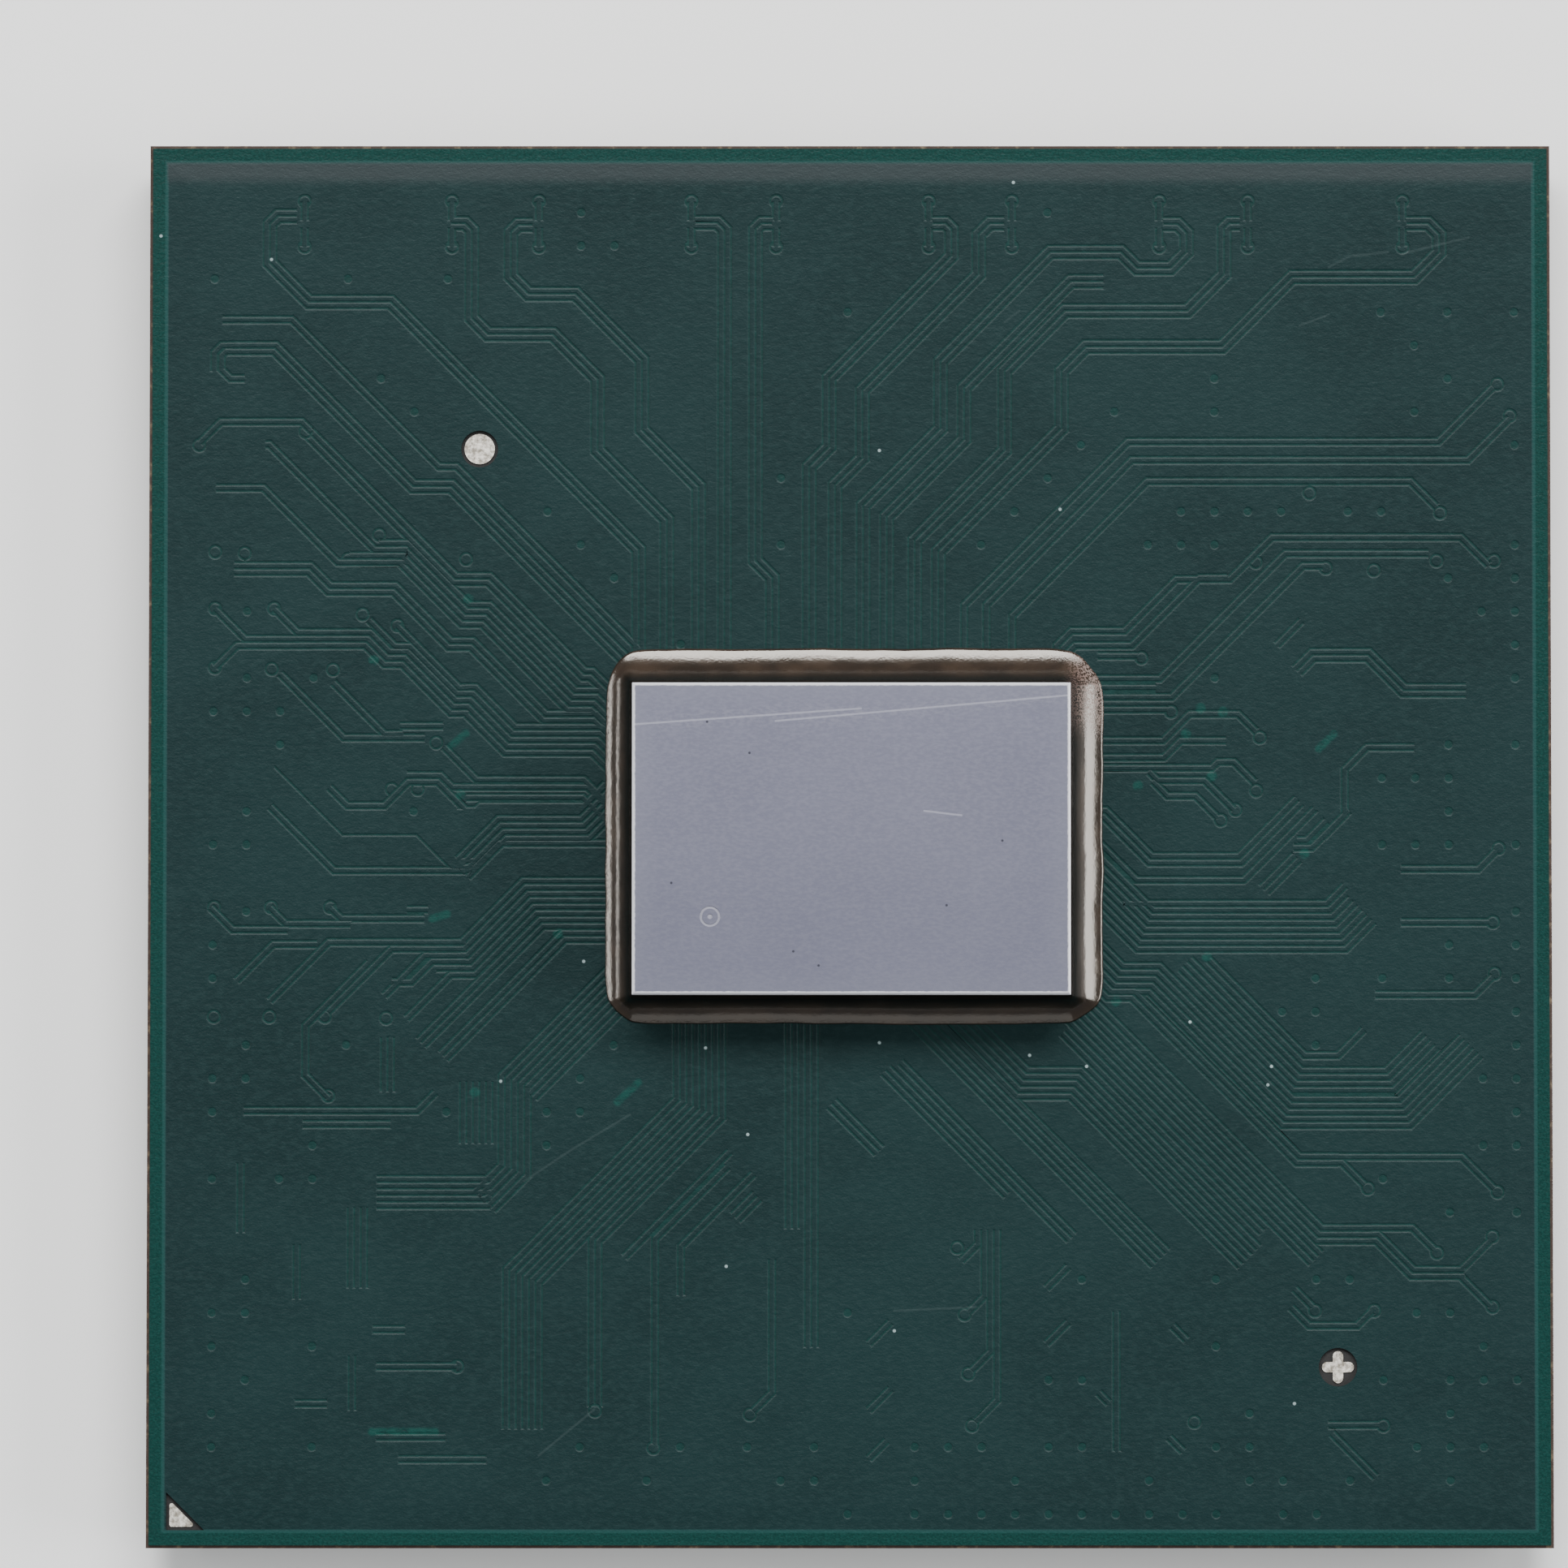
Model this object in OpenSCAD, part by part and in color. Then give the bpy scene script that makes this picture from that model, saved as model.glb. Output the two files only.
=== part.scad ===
// Flip-chip ball grid array: a bare silicon die on an organic laminate, with traces showing as
// relief under the solder mask and a full grid of solder balls below.
// The origin is under the middle of the body, at the tips of the balls. X and Y run along the
// sides, +Z goes up through the die, and ball A1 is at the corner where x and y are lowest.

/* [Package body] */
// Side of the square body
body_size = 19; // [18.8:0.1:21]
// Thickness of the laminate
laminate_thickness = 0.6; // [0.3:0.05:1.2]
// Bare rim round both faces, where the solder mask is pulled back from the sawn edge
mask_pullback = 0.04; // [0.02:0.01:0.1]
// From the sawn edge to the edge of the copper pours
copper_setback = 0.23; // [0.15:0.01:0.4]

/* [Copper and solder mask] */
// Thickness of the outer copper layers
copper_thickness = 0.015; // [0.01:0.001:0.03]
// Solder mask over the copper
mask_cover = 0.02; // [0.015:0.001:0.03]
// Depth of the grooves in the mask between the traces
groove_depth = 0.006; // [0.004:0.001:0.014]

/* [Routing] */
// Width of a trace
trace_width = 0.044; // [0.03:0.001:0.046]
// Space between neighbouring traces, and between a trace and the pour
trace_space = 0.044; // [0.03:0.001:0.046]
// Length that 1 stands for in the routing lists
route_unit = 1; // [0.95:0.01:1.05]
// Diameter of the small pads at the trace ends
via_pad_diameter = 0.12; // [0.08:0.01:0.16]
// Diameter of the dimples over plugged vias
dimple_diameter = 0.13; // [0.08:0.01:0.16]

/* [Solder balls] */
// Balls along each side of the grid
balls_per_side = 23; // [3:2:23]
// Distance between neighbouring balls
ball_pitch = 0.8; // [0.72:0.01:0.81]
// Diameter of a ball
ball_diameter = 0.48; // [0.44:0.01:0.5]
// Diameter of the hole in the mask over a land
land_opening = 0.42; // [0.36:0.01:0.43]
// Diameter of a copper land
land_diameter = 0.53; // [0.46:0.01:0.56]
// Ring without copper round a land
land_gap = 0.06; // [0.04:0.01:0.07]

/* [Die] */
// Length of the die along X
die_length = 5.9; // [5:0.1:7]
// Width of the die along Y
die_width = 4.2; // [3.5:0.05:5]
// Thickness of the die
die_thickness = 0.75; // [0.5:0.01:0.8]
// From the middle of the body to the middle of the die, along X
die_offset_x = 0.02; // [-0.5:0.01:0.5]
// From the middle of the body to the middle of the die, along Y
die_offset_y = 0.05; // [-0.5:0.01:0.5]
// Worn edge round the top of the die
die_edge_bevel = 0.025; // [0.01:0.005:0.05]
// Depth of the marks cut into the top of the die
mark_depth = 0.008; // [0.004:0.001:0.02]
// Outer diameter of the ring that marks pin 1
mark_ring_diameter = 0.28; // [0.2:0.01:0.4]
// Width of the ring's line, and radius of the dot in its middle
mark_line = 0.035; // [0.02:0.005:0.05]
// From the die's left edge and from its front edge to the middle of the ring
mark_inset = 1.05; // [0.4:0.05:1.5]

/* [Pillars and underfill] */
// Diameter of a copper pillar
pillar_diameter = 0.12; // [0.07:0.01:0.15]
// Distance between neighbouring pillars
pillar_pitch = 0.4; // [0.3:0.01:0.5]
// Height of a pillar between the top copper and the die
pillar_height = 0.08; // [0.06:0.005:0.12]
// Least distance from a pillar's axis to the edge of the die
pillar_edge = 0.2; // [0.15:0.01:0.4]
// How far the underfill climbs the sides of the die, from the top of the mask
fillet_climb = 0.6; // [0.3:0.01:0.7]
// How far the underfill spreads on the mask beyond the right side of the die
fillet_right = 0.46; // [0.25:0.01:0.6]
// How far it spreads beyond the back side
fillet_back = 0.51; // [0.25:0.01:0.6]
// How far it spreads beyond the left side
fillet_left = 0.35; // [0.25:0.01:0.6]
// How far it spreads beyond the front side
fillet_front = 0.37; // [0.25:0.01:0.6]
// Height of the underfill's outer edge, and its thickness where it ends on the die's sides
fillet_lip = 0.012; // [0.005:0.001:0.02]
// How far the outer edge of the underfill wanders in and out
fillet_wander = 0.02; // [0:0.005:0.03]

/* [Marks on the laminate] */
// Middle of the round fiducial
fiducial_dot_at = [-5.02, 5.37];
// Diameter of the round fiducial
fiducial_dot_diameter = 0.41; // [0.3:0.01:0.6]
// Middle of the fiducial cross
fiducial_cross_at = [6.59, -7.06];
// Width over the arms of the cross
fiducial_cross_size = 0.43; // [0.3:0.01:0.6]
// Width of one arm of the cross
fiducial_cross_arm = 0.14; // [0.08:0.01:0.18]
// Square corner of the triangle at ball A1
triangle_at = [-9.18, -9.21];
// Length of the triangle's short sides
triangle_side = 0.36; // [0.25:0.01:0.4]
// Radius of the triangle's corners
triangle_round = 0.03; // [0.01:0.005:0.04]
// From a mark's edge to the edge of its hole in the mask
mark_opening = 0.045; // [0.02:0.005:0.06]
// From a mark's edge to the copper pour
mark_clearance = 0.11; // [0.08:0.005:0.12]

/* [Hidden] */
// The shared heights, from the tips of the balls upwards.
ball_radius = ball_diameter / 2;
bottom_mask_z = ball_radius + sqrt(pow(ball_radius, 2) - pow(land_opening / 2, 2));
bottom_copper_z = bottom_mask_z + mask_cover;
laminate_z = bottom_copper_z + copper_thickness;
laminate_top_z = laminate_z + laminate_thickness;
top_copper_z = laminate_top_z + copper_thickness;
top_mask_z = top_copper_z + mask_cover;
die_z = top_copper_z + pillar_height;
die_top_z = die_z + die_thickness;

mask_size = body_size - 2 * mask_pullback;
pour_size = body_size - 2 * copper_setback;
trace_pitch = trace_width + trace_space;
die_at = [die_offset_x, die_offset_y];
mark_at = die_at + [mark_inset - die_length / 2, mark_inset - die_width / 2];

// The bundles of traces, side by side. One line for each bundle: how many lanes it has, where the
// middle of the bundle starts, and its legs. A leg is a heading and the x where it ends, or the y
// for N and S.
// Back left, from the rim in to the die.
BACK_LEFT = [
    [2, [-7.5, 8.54], [["W", -7.76], ["SW", -7.87], ["S", 7.9], ["SE", -7.34], ["E", -6.23], ["SE", -2.86],
        ["S", 2.3]]],
    [1, [-8.52, 7.13], [["E", -7.57], ["SE", -5.57], ["E", -5.33], ["SE", -2.5]]],
    [2, [-8.44, 6.74], [["E", -7.8], ["SE", -5.92], ["E", -5.4], ["SE", -2.8]]],
    [1, [-8.4, 6.78], [["W", -8.52], ["SW", -8.62], ["S", 6.42]]],
    [1, [-8.4, 6.7], [["W", -8.46], ["SW", -8.52], ["S", 6.45], ["SE", -8.4], ["E", -8.2]]],
    [1, [-8.82, 5.45], [["NE", -8.53], ["E", -7.43], ["SE", -7.3]]],
    [2, [-7.36, 5.61], [["SE", -5.35], ["E", -4.89], ["SE", -3.6], ["E", -3.5], ["SE", -3.1]]],
    [1, [-7.93, 5.43], [["E", -7.87], ["SE", -6.44], ["E", -6]]],
    [1, [-8.6, 4.84], [["E", -7.95], ["SE", -6.94], ["E", -6]]],
    [1, [-6.38, 4.09], [["E", -6]]],
    [1, [-6.78, 3.92], [["E", -6]]],
    [4, [-6.12, 3.96], [["E", -6.05], ["SE", -5.21], ["E", -4.93], ["SE", -3.77], ["E", -3.45], ["SE", -3.1]]],
    [2, [-8.35, 3.74], [["E", -7.32], ["SE", -7.05], ["E", -6.17], ["SE", -5.42], ["E", -5.12], ["SE", -4.13],
        ["E", -3.45], ["SE", -3.1]]],
    [1, [-7.8, 3.2], [["SE", -7.48], ["E", -7.3]]],
    [1, [-8.6, 3.2], [["SE", -8.19], ["E", -7.3]]],
    [1, [-8.6, 2.4], [["NE", -8.3], ["E", -7.3]]],
    [3, [-7.45, 2.79], [["E", -6.53], ["SE", -6.27], ["E", -6.03], ["SE", -5.37], ["E", -5.17]]],
    [1, [-6.52, 3.05], [["SE", -6.16], ["E", -5.96], ["SE", -5.32], ["E", -5.17]]],
    [1, [-6.13, 2.97], [["SE", -5.29], ["E", -5.17]]],
    [5, [-5.25, 1.96], [["E", -5.14], ["SE", -4.6], ["E", -3.42], ["SE", -3.05]]],
    [1, [-7.72, 2.32], [["SE", -6.85], ["E", -5.75]]],
    [1, [-7, 2.2], [["SE", -6.3], ["E", -6.05]]],
    [1, [-6.1, 1.61], [["E", -5.5]]],
    [1, [-8.7, 1], [["NE", -8.52], ["E", -7.7]]],
    [2, [-7.8, 1.14], [["E", -7.75], ["SE", -6.83], ["E", -5.83], ["SE", -5.35], ["E", -5.1]]],
    [1, [-7.85, 0.52], [["SE", -6.98], ["E", -5.12], ["NE", -4.75], ["E", -3.2]]],
    [1, [-7.05, 0.78], [["SE", -6.8], ["E", -6.3], ["NE", -5.98], ["E", -5.58], ["SE", -5.2], ["E", -5.06],
        ["NE", -5], ["E", -3.6], ["NE", -3.3]]],
    [1, [-6, 0.94], [["E", -5.54], ["SE", -5.38], ["E", -3.55], ["SE", -3.2]]],
    [1, [-5.5, 1.33], [["SE", -5.05], ["E", -3.6], ["SE", -3.2]]],
    [1, [-5.2, 0.64], [["E", -3.62], ["SE", -3.3]]],
    [1, [-5.32, 0.45], [["E", -5.03]]],
    [5, [-5.3, -0.32], [["NE", -4.72], ["E", -3.6], ["NE", -3.2]]]
];
// Back, from the pairs of vias along the rim.
BACK = [
    [2, [-5.42, 8.44], [["E", -5.22], ["SE", -5.13], ["S", 7.15], ["SE", -4.91], ["E", -4.03], ["SE", -3.42],
        ["S", 5.35], ["SE", -2.48], ["S", 2.3]]],
    [2, [-4.3, 8.42], [["W", -4.5], ["SW", -4.6], ["S", 7.72], ["SE", -4.36], ["E", -3.72], ["SE", -2.82],
        ["S", 5.63], ["SE", -2.05], ["S", 2.3]]],
    [2, [-2.1, 8.45], [["E", -1.8], ["SE", -1.7], ["S", 2.3]]],
    [2, [-1.05, 8.44], [["W", -1.2], ["SW", -1.28], ["S", 3.85], ["SE", -1.05], ["S", 2.3]]],
    [2, [1.12, 8.44], [["E", 1.3], ["SE", 1.38], ["S", 8], ["SW", -0.28], ["S", 5.4], ["SW", -0.55], ["S", 2.3]]],
    [2, [2.1, 8.44], [["W", 1.9], ["SW", 1.75], ["S", 7.75], ["SW", 0.17], ["S", 5.25], ["SW", -0.2], ["S", 2.3]]],
    [2, [4.25, 8.43], [["E", 4.45], ["SE", 4.57], ["S", 8.05], ["SW", 4.35], ["W", 3.9], ["NW", 3.68],
        ["W", 2.72], ["SW", 1.23], ["S", 5.65], ["SW", 0.18], ["S", 2.3]]],
    [2, [3.45, 7.65], [["W", 3], ["SW", 1.55], ["S", 5.5], ["SW", 0.5], ["S", 2.3]]],
    [2, [5.3, 8.44], [["W", 5.15], ["SW", 5.08], ["S", 7.75], ["SW", 4.58], ["W", 2.92], ["SW", 2.1],
        ["S", 5.35], ["SW", 0.88], ["S", 2.3]]],
    [2, [7.55, 8.44], [["E", 7.85], ["SE", 8], ["S", 8.05], ["SW", 7.66], ["W", 6], ["SW", 5.05], ["W", 3.2],
        ["SW", 2.87], ["S", 5.65], ["SW", 1.2], ["S", 2.3]]]
];
// Back right.
BACK_RIGHT = [
    [1, [1.55, 2.3], [["N", 3.25], ["NE", 3.77], ["E", 7.98], ["NE", 8.72]]],
    [1, [1.85, 2.3], [["N", 3.25], ["NE", 3.82], ["E", 8.38], ["NE", 8.95]]],
    [1, [2.2, 2.3], [["N", 3.1], ["NE", 4.03], ["E", 7.6], ["SE", 7.95]]],
    [1, [2.8, 2.3], [["N", 2.7], ["NE", 3], ["E", 3.72], ["NE", 4.42], ["E", 5.15], ["NE", 5.72], ["E", 8.28],
        ["SE", 8.66]]],
    [1, [2.95, 2.3], [["N", 2.6], ["NE", 3.05], ["E", 3.82], ["NE", 4.74], ["E", 5.12]]],
    [1, [3.35, 2.56], [["E", 3.9]]],
    [1, [3, 2.25], [["E", 4.2], ["NE", 5.9], ["E", 7.85]]],
    [1, [3.05, 2.13], [["E", 4.15]]],
    [1, [3.05, 2], [["E", 4.36], ["NE", 6.14], ["E", 6.42]]],
    [1, [3.05, 1.83], [["E", 4.3]]],
    [1, [3.05, 1.41], [["E", 4.24], ["NE", 4.6], ["E", 5.26], ["SE", 5.5]]],
    [1, [3.05, 1.18], [["E", 4.25], ["NE", 4.48], ["E", 5.1]]],
    [1, [3.05, 1.04], [["E", 4.9], ["NE", 4.98], ["E", 5.2], ["SE", 5.48]]],
    [1, [4.05, 0.99], [["SE", 4.17], ["E", 4.8], ["SE", 5.2]]],
    [1, [4.1, 0.86], [["SE", 4.3], ["E", 4.68], ["SE", 4.98]]],
    [2, [3.05, 0.42], [["E", 3.45], ["SE", 4.07], ["E", 5.28], ["NE", 6.08]]],
    [1, [3.05, 0.25], [["E", 3.15], ["SE", 3.88], ["E", 5.33], ["NE", 6.3]]],
    [1, [6.05, 0.06], [["E", 6.18], ["NE", 6.45]]],
    [1, [6, -0.04], [["E", 6.25], ["NE", 6.75]]],
    [2, [5.6, -0.62], [["NE", 6.05]]],
    [1, [7.65, 1.32], [["W", 7], ["SW", 6.7], ["S", 0.4], ["SW", 6.4]]],
    [2, [6.05, 2.35], [["NE", 6.27], ["E", 7.02], ["SE", 7.5], ["E", 8.35]]],
    [1, [5.78, 2.7], [["NE", 6.12]]]
];
// Right and front right.
RIGHT = [
    [7, [3.05, -0.3], [["E", 3.15], ["SE", 4], ["E", 6.6], ["NE", 6.9]]],
    [1, [3.7, -0.8], [["E", 6.45], ["NE", 6.7]]],
    [1, [7.45, -0.33], [["E", 8.5], ["NE", 8.75]]],
    [1, [7.45, -1.05], [["E", 8.65]]],
    [1, [7.1, -2.03], [["E", 8.45], ["NE", 8.7]]],
    [1, [4.85, -1.55], [["SE", 6.15], ["E", 6.6], ["NE", 6.95]]],
    [4, [4.5, -1.64], [["SE", 6.05], ["E", 7.3], ["NE", 7.85]]],
    [5, [3.2, -1.4], [["SE", 3.62], ["E", 4.12], ["SE", 5.92], ["E", 7.5], ["NE", 8.4]]],
    [2, [3.1, -1.63], [["SE", 3.5], ["E", 3.83], ["SE", 6.06], ["E", 6.6]]],
    [1, [6.5, -4.22], [["E", 8.27], ["SE", 8.7]]],
    [1, [6.5, -4.3], [["E", 6.65], ["SE", 6.95]]],
    [3, [3, -1.93], [["SE", 6.34], ["E", 7.1]]],
    [1, [7.05, -5.18], [["E", 7.6], ["SE", 7.9]]],
    [2, [7.05, -5.31], [["E", 7.12], ["SE", 7.6], ["E", 8.3]]],
    [1, [8.25, -5.75], [["NE", 8.65]]],
    [1, [8.25, -5.84], [["SE", 8.65]]],
    [3, [2.9, -2.2], [["SE", 6.3]]],
    [2, [2.9, -2.52], [["SE", 5.6]]],
    [5, [1.3, -2.2], [["SE", 2.33], ["E", 3.05], ["SE", 5.4]]],
    [1, [6.45, -7.84], [["E", 7.15]]],
    [1, [6.5, -7.95], [["SE", 7.1]]],
    [1, [5.95, -6.25], [["SE", 6.2], ["E", 6.85], ["NE", 7.05]]],
    [1, [6, -6], [["SE", 6.25]]],
    [4, [0.9, -2.3], [["SE", 4.2]]],
    [1, [3.6, -6.3], [["S", -8.2]]]
];
// Front and front left.
FRONT = [
    [1, [1.73, -5.2], [["S", -5.4], ["SW", 1.5]]],
    [1, [1.82, -5.2], [["S", -6.1], ["SW", 1.6]]],
    [1, [1.9, -5.2], [["S", -6.85], ["SW", 1.65]]],
    [1, [1.99, -5.2], [["S", -7.5], ["SW", 1.7]]],
    [2, [0.48, -3.05], [["SE", 2.15]]],
    [2, [0.65, -2.97], [["SE", 3]]],
    [2, [-0.25, -3.5], [["SE", 0.4]]],
    [5, [-0.65, -2.2], [["S", -5.2]]],
    [2, [-0.52, -5.1], [["S", -6.8]]],
    [1, [-1.05, -5.6], [["S", -7.4], ["SW", -1.3]]],
    [6, [-2.12, -2.2], [["S", -3.53], ["SW", -4.42], ["S", -7.9]]],
    [2, [-1.77, -2.2], [["S", -3.68], ["SW", -3.44], ["S", -7.6]]],
    [1, [-1.62, -4.15], [["SW", -3.05]]],
    [1, [-1.65, -4.35], [["SW", -2.63], ["S", -8.1]]],
    [1, [-1.3, -4.45], [["SW", -2.28], ["S", -6.1]]],
    [2, [-1.25, -4.75], [["SW", -1.55]]],
    [6, [-3.1, -0.71], [["W", -4.33], ["SW", -5.16], ["W", -5.25]]],
    [2, [-3.1, -1.06], [["W", -4.17], ["SW", -5.8]]],
    [2, [-3.1, -1.24], [["W", -3.87], ["SW", -5.5]]],
    [5, [-2.9, -1.57], [["SW", -4.53], ["S", -4.4], ["SW", -4.95]]],
    [2, [-2.9, -2], [["SW", -4.3]]],
    [1, [-5.2, -1.32], [["W", -7.05], ["SW", -7.85]]],
    [1, [-5.2, -1.41], [["W", -6.2], ["SW", -7.05]]],
    [1, [-5.2, -1.5], [["W", -5.75], ["SW", -6.3]]],
    [1, [-5.2, -1.58], [["W", -5.65], ["SW", -5.93], ["W", -6.2]]],
    [1, [-5.2, -1.67], [["W", -5.6]]],
    [1, [-5.2, -1.76], [["W", -5.4], ["SW", -6]]],
    [1, [-8.65, -0.85], [["SE", -8.35], ["E", -7.6]]],
    [1, [-7.85, -0.85], [["SE", -7.63], ["E", -6.75]]],
    [1, [-7.03, -0.85], [["SE", -6.88], ["E", -5.75]]],
    [1, [-8.3, -1.85], [["NE", -7.8], ["E", -7.2]]],
    [1, [-6, -0.88], [["E", -5.7]]],
    [1, [-7.05, -3.43], [["NW", -7.36], ["N", -2.45], ["NE", -6.5]]],
    [2, [-6.25, -2.6], [["S", -3.35]]],
    [1, [-8.2, -3.6], [["E", -5.85], ["NE", -5.6]]],
    [1, [-7.4, -3.78], [["E", -6.2]]],
    [5, [-5.05, -3.2], [["S", -4.05]]],
    [5, [-4.85, -4.7], [["W", -6.4]]],
    [1, [-8.23, -4.3], [["S", -5.25]]],
    [3, [-6.65, -4.9], [["S", -6]]],
    [1, [-7.47, -5.4], [["S", -6.15]]],
    [1, [-6.72, -6.9], [["S", -7.65]]],
    [1, [-6.45, -6.55], [["E", -6]]],
    [1, [-6.4, -7.05], [["E", -5.3]]],
    [1, [-7.5, -7.55], [["E", -7.05]]],
    [1, [-6.4, -8], [["E", -5.45]]],
    [1, [-6.1, -8.3], [["E", -4.9]]],
    [1, [0.25, -6.75], [["NE", 0.55]]],
    [1, [0.25, -7.65], [["NE", 0.55]]],
    [1, [0.25, -8.3], [["NE", 0.5]]],
    [1, [2.65, -6], [["NE", 2.95]]],
    [1, [2.65, -6.75], [["NE", 2.95]]],
    [1, [3.35, -7.4], [["SE", 3.5]]],
    [1, [4.35, -6.5], [["SE", 4.55]]],
    [1, [4.3, -8], [["SE", 4.5]]]
];
// Small pads where a single trace ends.
VIA_PADS = [
    [-8.82, 5.42], [-7.38, 5.6], [-8.6, 3.97], [-8.2, 3.95], [-8.6, 3.2], [-7.8, 3.2], [-6.6, 3.12],
    [-6.13, 2.97], [-6.38, 4.2], [-5.2, 3.87], [-6.8, 3.87], [-8.6, 2.4], [-7.83, 2.38], [-7, 2.37],
    [-5.6, 1.38], [-6.2, 0.75], [-5.85, 0.75], [-8.6, -0.85], [-7.83, -0.85], [-7.03, -0.85],
    [-8.6, -2.33], [-7.85, -2.33], [-7.1, -2.33], [-6.27, -2.35], [-7.05, -3.4], [8.78, 6.25],
    [8.95, 5.82], [8, 4.5], [6.23, 4.77], [5.5, 3.83], [6.45, 3.75], [7.1, 3.72], [7.95, 3.85],
    [8.73, 3.85], [3.95, 2.53], [4.35, 1.8], [5.55, 1.45], [5.5, 0.73], [5.22, 0.47], [5.02, 0.33],
    [8.78, -0.05], [8.7, -1.05], [8.72, -1.75], [8.75, -4.7], [7, -4.65], [7.93, -5.52], [8.68, -5.3],
    [8.68, -6.25], [7.08, -6.3], [6.28, -6.3], [7.2, -7.85], [4.65, -7.8], [1.45, -5.45], [1.55, -6.35],
    [1.6, -7.15], [1.65, -7.85], [-2.65, -8.15], [-1.35, -7.7], [-3.44, -7.65], [-5.3, -7.05],
];
// The vias that dimples show lie on a grid this wide, save for the pairs along the back rim.
via_grid = 0.452;
// Middle of the grid's first column.
via_grid_x = -0.03;
// Columns and rows of the dimples.
DIMPLES = [
    [-19, 17], [-15, 17], [-12, 17], [-14, 14], [-13, 13], [-8, 19], [-8, 18], [-7, 18], [0, 16],
    [-2, 11], [6, 19], [8, 13], [7, 12], [6, 11], [16, 16], [18, 16], [20, 16], [17, 15], [18, 14],
    [11, 14], [11, 13], [17, 13], [20, 12], [-18, 7], [-18, 5], [-16, 5], [-19, 4], [-18, 4], [-17, 4],
    [-17, 3], [-18, 1], [-13, 1], [-19, 0], [-18, 0], [-9, 10], [-8, 9], [-7, 8], [-2, 9], [-5, 6],
    [5, 10], [4, 9], [10, 10], [9, 9], [10, 9], [11, 10], [12, 10], [13, 10], [15, 10], [16, 10],
    [11, 9], [20, 9], [18, 8], [20, 8], [19, 7], [20, 7], [20, 6], [20, 5], [11, 5], [18, 3], [20, 3],
    [16, 2], [17, 2], [18, 2], [18, 1], [16, 0], [17, 0], [18, 0], [20, 0], [-18, -2], [-19, -3],
    [-19, -4], [-18, -6], [-15, -6], [-19, -7], [-18, -7], [-19, -8], [-16, -9], [-19, -10],
    [-16, -10], [-17, -10], [-12, -8], [-7, -6], [-8, -7], [-9, -8], [-8, -8], [-9, -9], [20, -2],
    [18, -3], [20, -3], [14, -4], [16, -4], [18, -4], [20, -4], [13, -5], [14, -5], [20, -5], [14, -6],
    [20, -6], [19, -7], [20, -7], [20, -8], [19, -9], [20, -9], [16, -10], [-18, -13], [-19, -14],
    [-18, -14], [-19, -15], [-16, -15], [-18, -16], [-19, -17], [-19, -18], [-16, -18], [-8, -18],
    [-9, -19], [-6, -19], [-5, -18], [-3, -18], [-1, -18], [-2, -19], [-1, -19], [0, -14], [0, -20],
    [2, -18], [3, -18], [4, -18], [6, -18], [7, -18], [2, -19], [5, -19], [9, -19], [2, -20],
    [3, -20], [4, -20], [5, -20], [6, -20], [7, -20], [8, -20], [9, -20], [10, -20], [7, -13],
    [6, -16], [7, -16], [18, -11], [20, -11], [11, -13], [14, -13], [15, -13], [17, -14], [18, -14],
    [11, -15], [19, -15], [16, -16], [18, -16], [19, -16], [20, -16], [12, -17], [18, -17], [11, -18],
    [12, -18], [17, -18], [18, -18], [19, -18], [12, -19], [13, -19], [15, -19], [18, -19],
    [11, -20], [13, -20], [14, -20],
];
// X of each pair of vias along the back rim, where a two-lane bundle starts.
RIM_PAIRS = [-7.4, -5.4, -4.22, -2.15, -1, 1.07, 2.2, 4.2, 5.4, 7.5];
// The two vias of a pair, and the middle of the bundle between them.
rim_pair_y = [8.12, 8.74];

// The bundles of each side, the back one with the lanes that hook round to the rim pairs.
SIDES = [BACK_LEFT, concat(BACK, [for (x = RIM_PAIRS) each hooks_at(x)]), BACK_RIGHT, RIGHT, FRONT];
// All the pads, with the vias of the rim pairs.
PADS = concat(VIA_PADS, [for (x = RIM_PAIRS, y = rim_pair_y) [x, y]]);

headings = [["E", 1, 0], ["NE", 1, 1], ["N", 0, 1], ["NW", -1, 1],
            ["W", -1, 0], ["SW", -1, -1], ["S", 0, -1], ["SE", 1, -1]];

row_letters = "abcdefghjklmnprtuvwy";
function row_name(i) =
    i < len(row_letters) ? row_letters[i] : str("a", row_letters[i - len(row_letters)]);
ROWS = [for (i = [0:balls_per_side - 1]) str("balls_row_", row_name(i))];

$fa = 6;
$fs = 0.02;

// ---- Places ----

// Middle of the grid is the middle of the body.
function grid_place(i, count, pitch) = (i - (count - 1) / 2) * pitch;

pillars_x = floor((die_length - 2 * pillar_edge) / pillar_pitch) + 1;
pillars_y = floor((die_width - 2 * pillar_edge) / pillar_pitch) + 1;

module at_balls() {
    for (i = [0:balls_per_side - 1], j = [0:balls_per_side - 1])
        translate([grid_place(i, balls_per_side, ball_pitch), grid_place(j, balls_per_side, ball_pitch)])
            children();
}

module at_pillars() {
    translate(die_at)
        for (i = [0:pillars_x - 1], j = [0:pillars_y - 1])
            translate([grid_place(i, pillars_x, pillar_pitch), grid_place(j, pillars_y, pillar_pitch)])
                children();
}

// ---- Traces ----

// Where a leg that starts at p ends.
function leg_end(p, leg) =
    let (go = headings[search([leg[0]], headings)[0]])
    go[1] == 0 ? [p.x, leg[1]] : [leg[1], p.y + go[2] * abs(leg[1] - p.x)];

function walk(p, legs, i = 0) =
    i == len(legs) ? [p] : concat([p], walk(leg_end(p, legs[i]), legs, i + 1));

function left_of(a, b) = let (d = (b - a) / norm(b - a)) [-d.y, d.x];

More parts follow.
